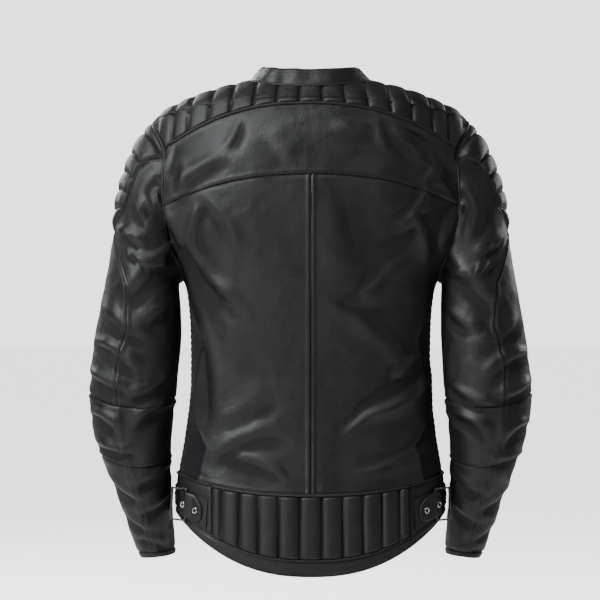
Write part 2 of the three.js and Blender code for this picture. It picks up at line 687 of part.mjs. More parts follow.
const barV = (STRAP.low + STRAP.high) / 2;
const barAngle = radians(FRAME.barAngle);
const barFrame = frameAt(body, barAngle, barV);
const { up: barUp, normal: barNormal } = barFrame;
const barAlong = new THREE.Vector3().crossVectors(barUp, barNormal).negate().normalize();
const barCentre = lifted(body, barAngle, barV, FRAME.lift);
const frameAxes = {
  across: barAlong,
  back: barUp.clone().negate(),
  along: barNormal,
  origin: barCentre,
};

// The slide frame is a flat rectangle. Its rear side is the bar that the tab holds.
const halfSide = FRAME.side / 2;
const frameOutline = rectangle(-halfSide, -FRAME.height / 2, FRAME.length - halfSide, FRAME.height / 2);
const frameHole = rectangle(halfSide, -FRAME.height / 2 + FRAME.side, FRAME.length - 3 * halfSide,
  FRAME.height / 2 - FRAME.side);
const slideFrame = prism(frameOutline, FRAME.thickness, [frameHole])
  .translate(0, 0, -FRAME.thickness / 2)
  .rotateY(-radians(FRAME.tilt));
addPair("adjuster_frame", placed(slideFrame, frameAxes), MATERIAL.metal);

// The tab is sewn beside the kidney panel and ends in a loop round the bar.
const LOOP = { inner: 1.9, outer: 3, length: 34, cut: 2.6 };
const tabStrip = shell({
  surface: body,
  rows: steps(STRAP.low, STRAP.high, 1),
  columns: () => steps(radians(60.5), barAngle - radians(0.8), 4),
  outer: 2.5,
  inner: 0.6,
});
const around = (geometry) => placed(geometry.translate(0, 0, -LOOP.length / 2), {
  across: barAlong, back: barNormal, along: barUp, origin: barCentre,
});
const loopRod = around(new THREE.CylinderGeometry(LOOP.outer, LOOP.outer, LOOP.length, 10)
  .rotateX(PI / 2).translate(0, 0, LOOP.length / 2));
const loopBore = around(new THREE.CylinderGeometry(LOOP.inner, LOOP.inner, LOOP.length + 8, 10)
  .rotateX(PI / 2).translate(0, 0, LOOP.length / 2));
addPair("adjuster_tab", geometryOf(solidOf(tabStrip).add(solidOf(loopRod)).subtract(solidOf(loopBore))),
  MATERIAL.leather);

// The strap comes round from the front, through the frame under its far side and over the bar.
const STRAP_LIFT = [[62.6, 3.2], [67.5, 3.4], [70.3, 7], [73.3, 7], [77, 1.2], [79, 0.6], [101, 0.6]];
const EYELET = { radius: 2.6, angles: [66, 84, 90.5] };
const strapLift = (u) => between(STRAP_LIFT.map(([angle, lift]) => [radians(angle), lift]), u);
const strapShell = shell({
  surface: body,
  rows: steps(STRAP.low + 0.02, STRAP.high - 0.02, 1),
  columns: () => [62.6, 67.5, 70.3, 73.3, 75.2, 77, 79, 84, 90, 95, 101].map(radians),
  outer: (u) => strapLift(u) + STRAP.thickness,
  inner: strapLift,
});
const eyeletHoles = EYELET.angles.map((degrees) => {
  const u = radians(degrees);
  const { normal, up, along } = frameAt(body, u, barV);
  const drill = new THREE.CylinderGeometry(EYELET.radius, EYELET.radius, 16, 8).rotateX(PI / 2);
  const origin = lifted(body, u, barV, strapLift(u));
  return solidOf(placed(drill, { across: along, back: up.negate(), along: normal, origin }));
});
const strap = eyeletHoles.reduce((left, hole) => left.subtract(hole), solidOf(strapShell));
addPair("adjuster_strap", geometryOf(strap), MATERIAL.leather);

// ---------------------------------------------------------------- inside the back

// A hanging loop inside the neck: a strip bowed into the opening.
const HANG_LOOP = { half: 32, y: 57, bow: 11, thickness: 1.6, height: 8 };
const bowed = (inset) => steps(-1, 1, 12).map((f) =>
  [f * (HANG_LOOP.half - inset), HANG_LOOP.y - (HANG_LOOP.bow - inset) * (1 - f ** 4)]);
add("hang_loop", prism([...bowed(0), ...bowed(HANG_LOOP.thickness).reverse()], HANG_LOOP.height)
  .translate(0, 0, -HANG_LOOP.height / 2), MATERIAL.leather);

// Half a zip across the lower back, which joins the jacket to a pair of trousers.
const TROUSER_ZIP = { half: 72, y: 90, z: -612, height: 24, thickness: 1.4, bead: 1.6 };
const { half: zipHalf, y: zipY, z: zipZ, height: zipHeight } = TROUSER_ZIP;
const trouserTape = box([-zipHalf, zipY, zipZ], [zipHalf, zipY + TROUSER_ZIP.thickness, zipZ + zipHeight]);
const trouserBead = box(
  [-zipHalf, zipY - TROUSER_ZIP.bead, zipZ - 3],
  [zipHalf, zipY + 2 * TROUSER_ZIP.bead, zipZ + 1],
);
add("trouser_zip", geometryOf(solidOf(trouserTape).add(solidOf(trouserBead))), MATERIAL.tape);

export default jacket;
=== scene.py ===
"""Looks for the leather riding jacket, built on the same surfaces as its CAD solids.

Lengths are in millimetres until a mesh is made, which is in metres. +Z is up, the front faces -Y and the
wearer's left is +X.
"""

import math

import bpy
import numpy as np
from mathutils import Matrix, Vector


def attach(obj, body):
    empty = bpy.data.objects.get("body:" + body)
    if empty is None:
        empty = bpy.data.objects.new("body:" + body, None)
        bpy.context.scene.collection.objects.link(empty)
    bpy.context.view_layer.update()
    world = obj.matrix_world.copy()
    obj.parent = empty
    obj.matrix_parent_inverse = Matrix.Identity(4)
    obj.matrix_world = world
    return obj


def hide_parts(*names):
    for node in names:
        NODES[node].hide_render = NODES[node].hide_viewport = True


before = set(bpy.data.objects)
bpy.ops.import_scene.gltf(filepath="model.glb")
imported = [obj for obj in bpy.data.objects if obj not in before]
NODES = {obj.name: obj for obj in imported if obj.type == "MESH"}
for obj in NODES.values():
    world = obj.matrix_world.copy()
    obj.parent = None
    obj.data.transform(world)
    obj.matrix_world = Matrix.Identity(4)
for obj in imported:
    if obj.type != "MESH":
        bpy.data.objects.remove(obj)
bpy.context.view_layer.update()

MM = 0.001
PI = math.pi
SIDE = PI / 2
LEATHER = 2.5           # a leather panel with its backing
LOWEST = -2.1           # how far a seam may sink below the smooth surface
DEEPEST_INNER = -4.7
SEAM_GAP = 0.15         # left on each side of a seam
FINE = 3.2              # grid spacing on leather
HANDS = ((1, "left"), (-1, "right"))
BODY_POWER = 2.35       # superellipse powers of the sections
SLEEVE_POWER = 2.15

# ------------------------------------------------------------------ the jacket's surfaces

# Sections from the hem up: side x and z, back y and z, front z.
BODY = [
    ("hem", 189, -597, 113, -676, -592),
    ("kidney", 189, -588, 112.5, -654, -580),
    ("waist", 187, -540, 106, -565, -540),
    ("lumbar", 179, -490, 99, -500, -490),
    ("midriff", 172, -430, 97, -430, -430),
    ("ribs", 171, -360, 104, -355, -360),
    ("underarm", 174, -300, 112, -285, -290),
    ("armpit", 183, -262, 117, -225, -240),
    ("blades", 216, -225, 120, -172, -195),
    ("back_seam", 236, -184, 119, -124.5, -155),
    ("upper_back", 240, -150, 110, -75, -122),
    ("yoke", 238, -114.5, 91, -26, -95),
    ("shoulder", 222, -48, 82, -17, -80),
    ("mid_shoulder", 180, -19, 76, -11, -70),
    ("neck_side", 132, -1, 71, -6, -61),
    ("neck", 86, 10, 66, 0, -52),
]
V = {section[0]: k for k, section in enumerate(BODY)}
COLLAR = [("seam", 86, 10, 66, 0, -52), ("top", 67, 31, 54, 25, -15)]
FRONT_NECK_DEPTH = 89
FRONT_NECK_Z = -52
FRONT_LEAN = 0.066
FRONT_EDGE = 7          # from the centre line to the leather beside the zip
KIDNEY_HALF = 138
ARMHOLE_Z, ARMHOLE_DEPTH, ARMHOLE_HEIGHT = -158, 70, 112
STRETCH_BACK = ([-560, -500, -440, -350, -272, -262], [66, 66, 30, 60, 22, 0])
STRETCH_FRONT = ([-560, -350, -272, -262], [-45, -45, -18, 0])

# Left sleeve sections after the armhole: outer x and z, inner x and z, middle y, half depth, dip at the back.
SLEEVE = [
    (243, -76, 184, -273, 0, 73, 0),
    (259, -112, 185, -277, 1, 73, 0),
    (270, -150, 185, -284, 2, 72, 0),
    (277, -200, 184, -297, 4, 70, 0),
    (286, -255, 183, -320, 6, 68, 0),
    (298, -320, 183, -352, 8, 67, 2),
    (307, -380, 186, -394, 11, 67, 7),
    (311, -428, 190, -436, 12, 66, 14),
    (306, -476, 195, -478, 9, 64, 14),
    (296, -512, 197, -520, 3, 60, 12),
    (279, -560, 196.5, -564, -11, 55, 8),
    (264, -604, 194.6, -604, -24, 50.2, 4.3),
    (246.2, -655, 192.4, -650, -39, 44.8, 0.2),
    (243, -664, 192, -658, -42, 44, 0),
]
S = {"start": 0.04, "cap_end": 4, "elbow": 8, "elbow_end": 10, "cuff_seam": 13, "cuff": 14}
SEAM_DEGREES = [60, 48, 46, 42, 16, 66, 76, 68, 74, 75, 82, 85, 85, 87, 88]
CUFF_ZIP_ANGLE = math.radians(236)
CUFF_SLIT_FROM, CUFF_SLIT_HALF = 10.9, 6.6


def front_depth(z):
    return FRONT_NECK_DEPTH + FRONT_LEAN * (FRONT_NECK_Z - z)


def smooth(value, low=0.0, high=1.0):
    t = np.clip((value - low) / (high - low), 0, 1)
    return t * t * (3 - 2 * t)


def body_ring(section):
    """Points of a section: the angle is 0 at the centre back and a quarter turn at the left side."""
    _, side_x, side_z, back_y, back_z, front_z = section

    def ring(u):
        s, c = np.sin(u), np.cos(u)
        depth = np.where(c >= 0, back_y, front_depth(front_z))
        middle_z = np.where(c >= 0, back_z, front_z)
        reach = (np.abs(s / side_x) ** BODY_POWER + np.abs(c / depth) ** BODY_POWER) ** (-1 / BODY_POWER)
        y = reach * c
        middle = np.abs(y / depth) ** BODY_POWER
        return np.stack([reach * s, y, side_z + (middle_z - side_z) * middle], -1)

    return ring


def sleeve_ring(section):
    """Points of a section: the angle is 0 at the outermost line and a quarter turn at the back."""
    outer_x, outer_z, inner_x, inner_z, middle_y, depth, dip = section

    def ring(u):
        s, c = np.sin(u), np.cos(u)
        reach = (np.abs(c) ** SLEEVE_POWER + np.abs(s) ** SLEEVE_POWER) ** (-1 / SLEEVE_POWER)
        s, c = s * reach, c * reach
        x = (outer_x + inner_x) / 2 + (outer_x - inner_x) / 2 * c
        z = (outer_z + inner_z) / 2 + (outer_z - inner_z) / 2 * c - dip * np.maximum(0, s) ** 2
        return np.stack([x, middle_y + depth * s, z], -1)

    return ring


def loft(rings):
    """A smooth surface through rings. v counts them."""

    def surface(u, v):
        u, v = np.broadcast_arrays(np.asarray(u, float), np.asarray(v, float))
        i = np.clip(np.floor(v), 0, len(rings) - 2).astype(int)
        f = v - i
        weights = [
            ((2 - f) * f - 1) * f * 0.5,
            ((3 * f - 5) * f * f + 2) * 0.5,
            ((4 - 3 * f) * f + 1) * f * 0.5,
            (f - 1) * f * f * 0.5,
        ]
        points = np.zeros(u.shape + (3,))
        needed = range(max(0, i.min() - 1), min(len(rings), i.max() + 3))
        for k in needed:
            ring = rings[k](u)
            for offset, weight in enumerate(weights, -1):
                here = np.clip(i + offset, 0, len(rings) - 1) == k
                points += ring * (weight * here)[..., None]
        return points

    return surface


def unit(vectors):
    return vectors / np.maximum(np.linalg.norm(vectors, axis=-1, keepdims=True), 1e-9)


def normals(surface, u, v, h=0.004):
    along = surface(u + h, v) - surface(u - h, v)
    up = surface(u, v + h) - surface(u, v - h)
    return unit(np.cross(unit(up), unit(along)))


body = loft([body_ring(section) for section in BODY])
collar = loft([body_ring(section) for section in COLLAR])


def in_armhole(points, grow):
    y = points[..., 1] / (ARMHOLE_DEPTH + grow)
    z = (points[..., 2] - ARMHOLE_Z) / (ARMHOLE_HEIGHT + grow)
    return np.hypot(y, z) < 1


def first_blocked(v, start, stop, blocked):
    """The angle, for each v, where the way from start to stop is first blocked on the body."""
    v = np.atleast_1d(np.asarray(v, float))
    marks = np.linspace(start, stop, 91)
    hit = blocked(body(marks[None, :], v[:, None]))
    first = np.where(hit.any(1), hit.argmax(1), 90)
    clear = marks[np.maximum(first - 1, 0)]
    closed = marks[first]
    for _ in range(20):
        middle = (clear + closed) / 2
        is_hit = blocked(body(middle, v))
        closed = np.where(is_hit, middle, closed)
        clear = np.where(is_hit, clear, middle)
    return np.where(hit.any(1), clear, stop)


def past_stretch_back(points, gap):
    y, z = points[..., 1], points[..., 2]
    return (z < -262) & (z > -560) & (y < np.interp(z, *STRETCH_BACK) + gap)


def past_stretch_front(points, gap):
    y, z = points[..., 1], points[..., 2]
    return (z < -262) & (z > -560) & (y > np.interp(z, *STRETCH_FRONT) - gap)


def back_limit(v, grow=1.0):
    return first_blocked(v, 0, SIDE, lambda p: in_armhole(p, grow) | past_stretch_back(p, SEAM_GAP))


def front_limit(v, grow=1.0):
    return first_blocked(v, PI, SIDE, lambda p: in_armhole(p, grow) | past_stretch_front(p, SEAM_GAP))


def front_edge(surface):
    return lambda v: PI - np.arcsin(FRONT_EDGE / np.abs(surface(PI, v)[..., 1]))


def kidney_limit(v, gap):
    return first_blocked(v, 0, SIDE, lambda p: p[..., 0] > KIDNEY_HALF + gap)


def armhole_curve():
    """The armhole seam's x for an angle that is 0 at its top and a quarter turn at the back."""
    rows = np.linspace(V["armpit"] - 0.5, V["shoulder"], 241)
    angles, reach = [], []
    for start in (0, PI):
        edge = first_blocked(rows, start, SIDE, lambda p: in_armhole(p, 0))
        points = body(edge, rows)[np.abs(edge - SIDE) > 1e-6]
        angles.append(np.arctan2(points[:, 1] / ARMHOLE_DEPTH, (points[:, 2] - ARMHOLE_Z) / ARMHOLE_HEIGHT))
        reach.append(points[:, 0])
    angles, reach = np.concatenate(angles), np.concatenate(reach)
    order = np.argsort(angles)
    return angles[order], reach[order]


ARMHOLE_ANGLES, ARMHOLE_X = armhole_curve()


def armhole_ring(u):
    turned = np.arctan2(np.sin(u), np.cos(u))
    x = np.interp(turned, ARMHOLE_ANGLES, ARMHOLE_X, period=2 * PI)
    return np.stack([x, ARMHOLE_DEPTH * np.sin(u), ARMHOLE_Z + ARMHOLE_HEIGHT * np.cos(u)], -1)


sleeve = loft([armhole_ring] + [sleeve_ring(section) for section in SLEEVE])


def sleeve_seam(v):
    return np.radians(np.interp(v, range(len(SEAM_DEGREES)), SEAM_DEGREES))


def reach_per_radian(surface, u, v, h=0.004):
    return np.linalg.norm(surface(u + h, v) - surface(u - h, v), axis=-1) / (2 * h)


def cuff_slit(v):
    half = np.where(v > CUFF_SLIT_FROM, CUFF_SLIT_HALF, SEAM_GAP)
    return half / reach_per_radian(sleeve, CUFF_ZIP_ANGLE, v)


# ------------------------------------------------------------------ folds and seams

RANDOM = np.random.default_rng(11)
GRADIENTS = unit(RANDOM.normal(size=(256, 3)))
SHUFFLE = RANDOM.permutation(256)


def noise(points, size):
    """Smooth seeded noise, about -1 to 1, with lumps of that size."""
    scaled = points / size
    cell = np.floor(scaled).astype(int)
    f = scaled - cell
    blend = f * f * f * (f * (f * 6 - 15) + 10)
    total = np.zeros(points.shape[:-1])
    for corner in np.ndindex(2, 2, 2):
        x, y, z = np.moveaxis(cell + corner, -1, 0)
        pick = SHUFFLE[(SHUFFLE[(SHUFFLE[x & 255] + y) & 255] + z) & 255]
        weight = np.prod(np.where(np.array(corner) == 1, blend, 1 - blend), axis=-1)
        total += np.sum(GRADIENTS[pick] * (f - corner), -1) * weight
    return total * 1.6


def creased(points, size):
    """Noise that folds over into soft ridges, 0 to 1."""
    return 1 - np.abs(noise(points, size))


FOLD_SCALE = 1.6        # all folds together
LIFT_RANGE = (-1.9, 8)  # what the folds may add to the smooth surface

# Height and size of the soft shapes between the folds, from broad swells to fine wrinkles.
SWELL, CREASE, WRINKLE, BUNCH = (1.5, 62), (0.9, 34), (0.5, 13), (0.9, 30)
DRAPE_STRETCH = np.array([1.0, 1.0, 0.62])
BUNCH_STRETCH = np.array([1.0, 1.0, 1.8])

# Each fold: start x and z, end x and z, how far it bows sideways, width, height. Seen from behind.
BACK_FOLDS = [
    (150, -150, 95, -235, 8, 9, 1.7),
    (168, -215, 100, -300, -10, 11, 2.2),
    (150, -262, 78, -330, 8, 10, 1.6),
    (165, -300, 128, -470, 12, 13, 2.4),
    (120, -200, 96, -380, -8, 20, 1.6),
    (150, -520, 40, -470, 12, 12, 2.0),
    (140, -470, 60, -410, -8, 14, 1.5),
    (30, -540, 118, -505, -6, 9, 1.5),
    (-110, -60, -175, -105, 8, 10, 2.2),
    (-92, -48, -128, -112, -8, 9, 1.6),
    (-150, -90, -188, -150, 6, 8, 1.8),
    (-165, -130, -120, -205, 10, 9, 1.8),
    (-172, -190, -80, -262, 14, 12, 2.4),
    (-168, -235, -60, -330, -14, 13, 2.0),
    (-20, -300, -150, -420, 16, 15, 2.2),
    (-70, -455, -182, -385, -18, 13, 3.0),
    (-40, -492, -178, -430, 16, 11, 2.4),
    (-60, -535, -176, -500, -8, 10, 2.2),
    (-110, -410, -165, -372, 6, 8, 2.0),
    (-28, -150, -60, -290, -6, 20, 1.3),
    (60, -62, 20, -104, 5, 16, 1.0),
    (98, -46, 120, -92, 4, 6, 1.5),
    (116, -98, 200, -152, -8, 10, 2.2),
    (192, -70, 208, -124, 4, 6, 2.0),
    (186, -96, 176, -150, 5, 7, 1.8),
    (152, -164, 168, -236, -6, 8, 2.2),
    (208, -168, 178, -232, 5, 8, 2.4),
    (-208, -168, -178, -232, -5, 8, 2.4),
    (-128, -44, -184, -90, 6, 7, 1.8),
    (-192, -72, -206, -124, -4, 6, 2.0),
    (-168, -128, -198, -166, 4, 7, 2.2),
    (-140, -176, -160, -250, 6, 9, 2.2),
    (-186, -100, -150, -140, 4, 6, 1.6),
    (-30, -58, -84, -70, 4, 12, 1.2),
]
FRONT_FOLDS = [
    (165, -190, 70, -270, 10, 12, 2.2),
    (160, -240, 80, -330, -8, 12, 1.8),
    (60, -470, 160, -430, 12, 13, 2.2),
    (50, -520, 150, -500, -6, 10, 1.8),
    (-165, -195, -75, -285, -10, 12, 2.2),
    (-155, -255, -60, -340, 8, 12, 1.8),
    (-60, -460, -165, -420, -10, 13, 2.2),
    (-45, -515, -150, -490, 6, 10, 1.8),
    (120, -110, 60, -180, 6, 14, 1.4),
    (-120, -115, -70, -190, -6, 14, 1.4),
]
SLEEVE_FOLDS = [
    (230, -121, 198, -138, 3, 5, 2.0),
    (224, -134, 202, -160, -3, 5, 2.0),
    (220, -152, 194, -192, 4, 6, 2.4),
    (240, -150, 214, -196, -4, 7, 1.8),
    (272, -196, 228, -224, 5, 7, 2.8),
    (258, -226, 190, -250, -5, 7, 2.8),
    (187, -205, 250, -255, 10, 9, 2.4),
    (184, -240, 262, -290, -8, 11, 3.0),
    (186, -285, 240, -322, 8, 9, 2.0),
    (290, -300, 215, -345, -8, 12, 1.6),
    (302, -352, 236, -392, 8, 10, 2.2),
    (310, -392, 250, -414, -5, 8, 2.4),
    (190, -395, 258, -424, 8, 8, 2.2),
    (192, -440, 250, -468, -6, 8, 2.6),
    (308, -450, 262, -476, 6, 8, 2.2),
    (300, -492, 240, -500, -5, 7, 2.0),
    (196, -520, 262, -548, 8, 8, 2.4),
    (284, -535, 226, -572, -6, 8, 2.2),
    (200, -566, 252, -592, 6, 7, 1.8),
    (264, -590, 214, -618, -4, 7, 1.6),
    (244, -630, 200, -640, 4, 6, 1.2),
]
RIGHT_SLEEVE_SHIFT = -14    # the right sleeve's folds lie a little lower


def fold_lift(x, z, folds):
    """Height of a set of folds: each is a soft ridge with a hollow on its lower side."""
    total = np.zeros(x.shape)
    for x0, z0, x1, z1, bow, width, height in folds:
        length = math.hypot(x1 - x0, z1 - z0)
        dx, dz = (x1 - x0) / length, (z1 - z0) / length
        t = ((x - x0) * dx + (z - z0) * dz) / length
        side = (x - x0) * dz - (z - z0) * dx - bow * 4 * t * (1 - t)
        if dx * (1 if x0 > 0 else -1) < 0:
            side = -side
        fade = smooth(t, -0.08, 0.3) * smooth(1 - t, -0.08, 0.3)
        wide = width * (0.75 + 0.5 * np.clip(t, 0, 1))
        ridge = np.exp(-((side / wide) ** 2))
        hollow = np.exp(-(((side - 1.5 * wide) / (0.9 * wide)) ** 2))
        total += height * fade * (ridge - 0.75 * hollow)
    return total


def leather_lift(points, facing):
    """How far the worn leather stands off its smooth surface: folds, then soft creases all over."""
    x, z = points[..., 0], points[..., 2]
    on_sleeve = np.abs(x) > 186
    back = smooth(facing[..., 1], -0.35, 0.25)
    left = np.where(x > 0, 1.0, 0.0)
    body_part = fold_lift(x, z, BACK_FOLDS) * back + fold_lift(x, z, FRONT_FOLDS) * (1 - back)
    down = np.where(x > 0, z, z - RIGHT_SLEEVE_SHIFT)
    sleeve_part = fold_lift(np.abs(x), down, SLEEVE_FOLDS) * (1.15 + 0.35 * left)
    sleeve_amount = np.where(z > -215, smooth(np.abs(x), 200, 216), smooth(np.abs(x), 182, 194))
    sleeve_amount = sleeve_amount * smooth(-z, 96, 126)
    total = body_part * (1 - sleeve_amount) + sleeve_part * sleeve_amount
    stretched = points * DRAPE_STRETCH
    total = total * FOLD_SCALE
    total += SWELL[0] * noise(stretched, SWELL[1])
    total += CREASE[0] * (creased(points + 300, CREASE[1]) - 0.75)
    rough = smooth(noise(points + 900, 90), -0.1, 0.5)
    total += rough * WRINKLE[0] * (creased(points, WRINKLE[1]) - 0.8)
    bunched = creased(stretched * BUNCH_STRETCH + 500, BUNCH[1]) - 0.75
    total += sleeve_amount * on_sleeve * BUNCH[0] * bunched
    return np.clip(total, *LIFT_RANGE)


def groove(d):
    return -1.7 * np.exp(-((d / 2.2) ** 2))


def felled(d):
    """A lapped seam: raised beside the join, with a dip under its row of stitches."""
    raised = 1.4 * (1 - smooth(d, 4.6, 7.0))
    return raised - 1.5 * np.exp(-((d / 1.0) ** 2)) - 0.5 * np.exp(-(((d - STITCH_INSET) / 1.0) ** 2))


def rolled(d):
    """A free edge that rolls in, with a dip under its stitches."""
    return -1.8 * np.exp(-((d / 1.1) ** 2)) - 0.45 * np.exp(-(((d - STITCH_INSET) / 1.1) ** 2))


def plain(d):
    return np.zeros(d.shape)


STITCH_INSET = 3.4
PROFILES = {"groove": groove, "felled": felled, "rolled": rolled, "plain": plain}
EDGES = ("left", "right", "bottom", "top")


# ------------------------------------------------------------------ meshes

def piece(name, points, faces, material, slot, rides="jacket", replaces=(), smooth_angle=55):
    """A shown mesh from millimetre points."""
    mesh = bpy.data.meshes.new(name)
    mesh.from_pydata((np.asarray(points) * MM).tolist(), [], faces)
    mesh.materials.append(material)
    mesh.polygons.foreach_set("use_smooth", [True] * len(mesh.polygons))
    mesh.set_sharp_from_angle(angle=math.radians(smooth_angle))
    thing = bpy.data.objects.new(name, mesh)
    bpy.context.scene.collection.objects.link(thing)
    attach(thing, rides)
    if replaces:
        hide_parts(*replaces)
    return thing


def travelled_along(points, axis):
    """Distance from the first point along one axis of an array of points."""
    steps = np.cumsum(np.linalg.norm(np.diff(points, axis=axis), axis=-1), axis=axis)
    return np.concatenate([np.zeros_like(steps.take([0], axis)), steps], axis)


def even_rows(surface, start, stop, middle, spacing):
    """Values of v that are evenly spaced in millimetres along the middle of a panel."""
    fine = np.linspace(start, stop, 241)
    travelled = travelled_along(surface(middle(fine), fine), 0)
    count = max(4, int(travelled[-1] / spacing))
    return np.interp(np.linspace(0, travelled[-1], count + 1), travelled, fine)


class Grid:
    """A panel's smooth surface as rows and columns, with the distance of each point from its four edges."""

    def __init__(self, surface, start, stop, limits, spacing, side=1, finer=1.0):
        def middle(v):
            low, high = limits(v)
            return (low + high) / 2

        self.rows = even_rows(surface, start, stop, middle, spacing / finer)
        low, high = limits(self.rows)
        widest = np.max((high - low) * reach_per_radian(surface, (low + high) / 2, self.rows))
        count = int(np.clip(widest * finer / spacing, 6, 420))
        self.u = low[:, None] + (high - low)[:, None] * np.linspace(0, 1, count + 1)
        self.v = np.repeat(self.rows[:, None], count + 1, axis=1)
        self.side = side
        self.place(surface)

    def place(self, surface):
        """Puts the points on the surface and measures how far each is from the edges."""
        flip = np.array([self.side, 1, 1])
        self.points = surface(self.u, self.v) * flip
        self.normals = normals(surface, self.u, self.v) * flip
        left = travelled_along(self.points, 1)
        bottom = travelled_along(self.points, 0)
        right, top = left[:, -1:] - left, bottom[-1:] - bottom
        self.edge = dict(zip(EDGES, (left, right, bottom, top)))

    def lifted(self, lift):
        return self.points + self.normals * np.asarray(lift)[..., None]

    def line(self, outer, edge, distance):
        """Points and normals along a line inside an edge."""
        across = edge in ("left", "right")
        gaps = self.edge[edge] if across else self.edge[edge].T
        positions = outer if across else outer.transpose(1, 0, 2)
        facing = self.normals if across else self.normals.transpose(1, 0, 2)
        points, directions = [], []
        for gap, place, face in zip(gaps, positions, facing):
            order = np.argsort(gap)
            if gap.max() < 2 * distance:
                continue
            points.append([np.interp(distance, gap[order], place[order, k]) for k in range(3)])
            directions.append([np.interp(distance, gap[order], face[order, k]) for k in range(3)])
        return np.array(points), unit(np.array(directions))


def shell_faces(rows, columns, closed):
    """Faces of a closed shell whose outer points come first and then its inner ones."""
    at = np.arange(rows * columns).reshape(rows, columns)
    if closed:
        at = np.concatenate([at, at[:, :1]], axis=1)
    a, b, c, d = at[:-1, :-1], at[:-1, 1:], at[1:, 1:], at[1:, :-1]
    outer = np.stack([a, b, c, d], -1).reshape(-1, 4)
    shift = rows * columns
    inner = outer[:, ::-1] + shift
    rims = [(at[0], False), (at[-1], True)]
    if not closed:
        rims += [(at[:, 0], True), (at[:, -1], False)]
    walls = []
    for rim, turned in rims:
        quad = np.stack([rim[:-1], rim[:-1] + shift, rim[1:] + shift, rim[1:]], -1)
        walls.append(quad[:, ::-1] if turned else quad)
    return np.concatenate([outer, inner, *walls])


def shell(name, grid, outer_lift, inner_lift, material, slot, closed=False, **options):
    """A closed shell between two lifts of a grid, and its outer points."""
    outer, inner = grid.lifted(outer_lift), grid.lifted(inner_lift)
    used_outer = outer[:, :-1] if closed else outer
    used_inner = inner[:, :-1] if closed else inner
    rows, columns = used_outer.shape[:2]
    faces = shell_faces(rows, columns, closed)
    if grid.side > 0:
        faces = faces[:, ::-1]
    points = np.concatenate([used_outer.reshape(-1, 3), used_inner.reshape(-1, 3)])
    made = piece(name, points, faces.tolist(), material, slot, **options)
    # The outer lift is kept as the 'raised' attribute. The leather finishes use it to paint proud places
    # paler, partly as wear and partly as painted sheen.
    raised = np.broadcast_to(outer_lift, grid.u.shape)[:, :columns].ravel()
    height_for_wear_and_sheen = np.concatenate([raised, np.zeros(rows * columns)])
    attribute = made.data.attributes.new("raised", "FLOAT", "POINT")
    attribute.data.foreach_set("value", height_for_wear_and_sheen.astype(np.float32))
    return made, outer


def rod_faces(rings, sides):
    """Faces of a rod whose points are its rings, then a tip before the first and one after the last."""
    first, last, top = rings * sides, rings * sides + 1, (rings - 1) * sides
    faces = []
    for k in range(sides):
        following = (k + 1) % sides
        for base in range(0, top, sides):
            faces.append((base + k, base + following, base + sides + following, base + sides + k))
        faces.append((first, following, k))
        faces.append((top + k, top + following, last))
    return faces


def capsule():
    """A stitch of unit length along x, as points and faces."""
    sides, points = 6, []
    for x, r in ((-0.38, 0.8), (0, 1), (0.38, 0.8)):
        for k in range(sides):
            points.append((x, r * math.cos(2 * PI * k / sides), r * math.sin(2 * PI * k / sides)))
    points += [(-0.5, 0, 0), (0.5, 0, 0)]
    return np.array(points), rod_faces(3, sides)


STITCH = {"pitch": 4.4, "length": 3.4, "radius": 0.42}


def resample(points, normals_there, pitch):
    """Points, directions and normals every pitch along a line."""
    travelled = travelled_along(points, 0)
    count = int(travelled[-1] / pitch)
    if count < 1:
        return np.zeros((0, 3)), np.zeros((0, 3)), np.zeros((0, 3))
    marks = (np.arange(count) + 0.5) * travelled[-1] / count

    def at(values, where):
        return np.stack([np.interp(where, travelled, values[:, k]) for k in range(3)], -1)

    ahead, behind = at(points, marks + pitch / 4), at(points, marks - pitch / 4)
    return at(points, marks), unit(ahead - behind), unit(at(normals_there, marks))


def stitches(name, lines, material):
    """Rows of stitches along lines of points and normals, as one piece."""
    template, faces = capsule()
    all_points, all_faces, count = [], [], 0
    for points, facing in lines:
        if len(points) < 2:
            continue
        places, along, out = resample(points, facing, STITCH["pitch"])
        across = unit(np.cross(out, along))
        for place, a, c, o in zip(places, along, across, out):
            local = (template[:, :1] * STITCH["length"] * a + template[:, 1:2] * STITCH["radius"] * c
                     + template[:, 2:] * STITCH["radius"] * o)
            all_points.append(place + o * 0.12 + local)
            all_faces.extend(tuple(k + count for k in face) for face in faces)
            count += len(template)
    piece(name, np.concatenate(all_points), all_faces, material, "zip_tape", smooth_angle=80)


def tube(name, points, normals_there, radius, material, spacing=3.0, sides=10):
    """A leather piping cord along a line, with round ends."""
    places, along, out = resample(points, normals_there, spacing)
    across = np.cross(out, along)
    angles = np.arange(sides) * 2 * PI / sides
    ends = np.ones(len(places))
    ends[[0, -1]] = 0.55
    ring = np.cos(angles)[None, :, None] * across[:, None] + np.sin(angles)[None, :, None] * out[:, None]
    around = places[:, None] + ring * (radius * ends)[:, None, None]
    tips = [places[0] - along[0] * radius * 0.6, places[-1] + along[-1] * radius * 0.6]
    points = np.concatenate([around.reshape(-1, 3), tips])
    piece(name, points, rod_faces(len(places), sides), material, "leather")


# ------------------------------------------------------------------ materials

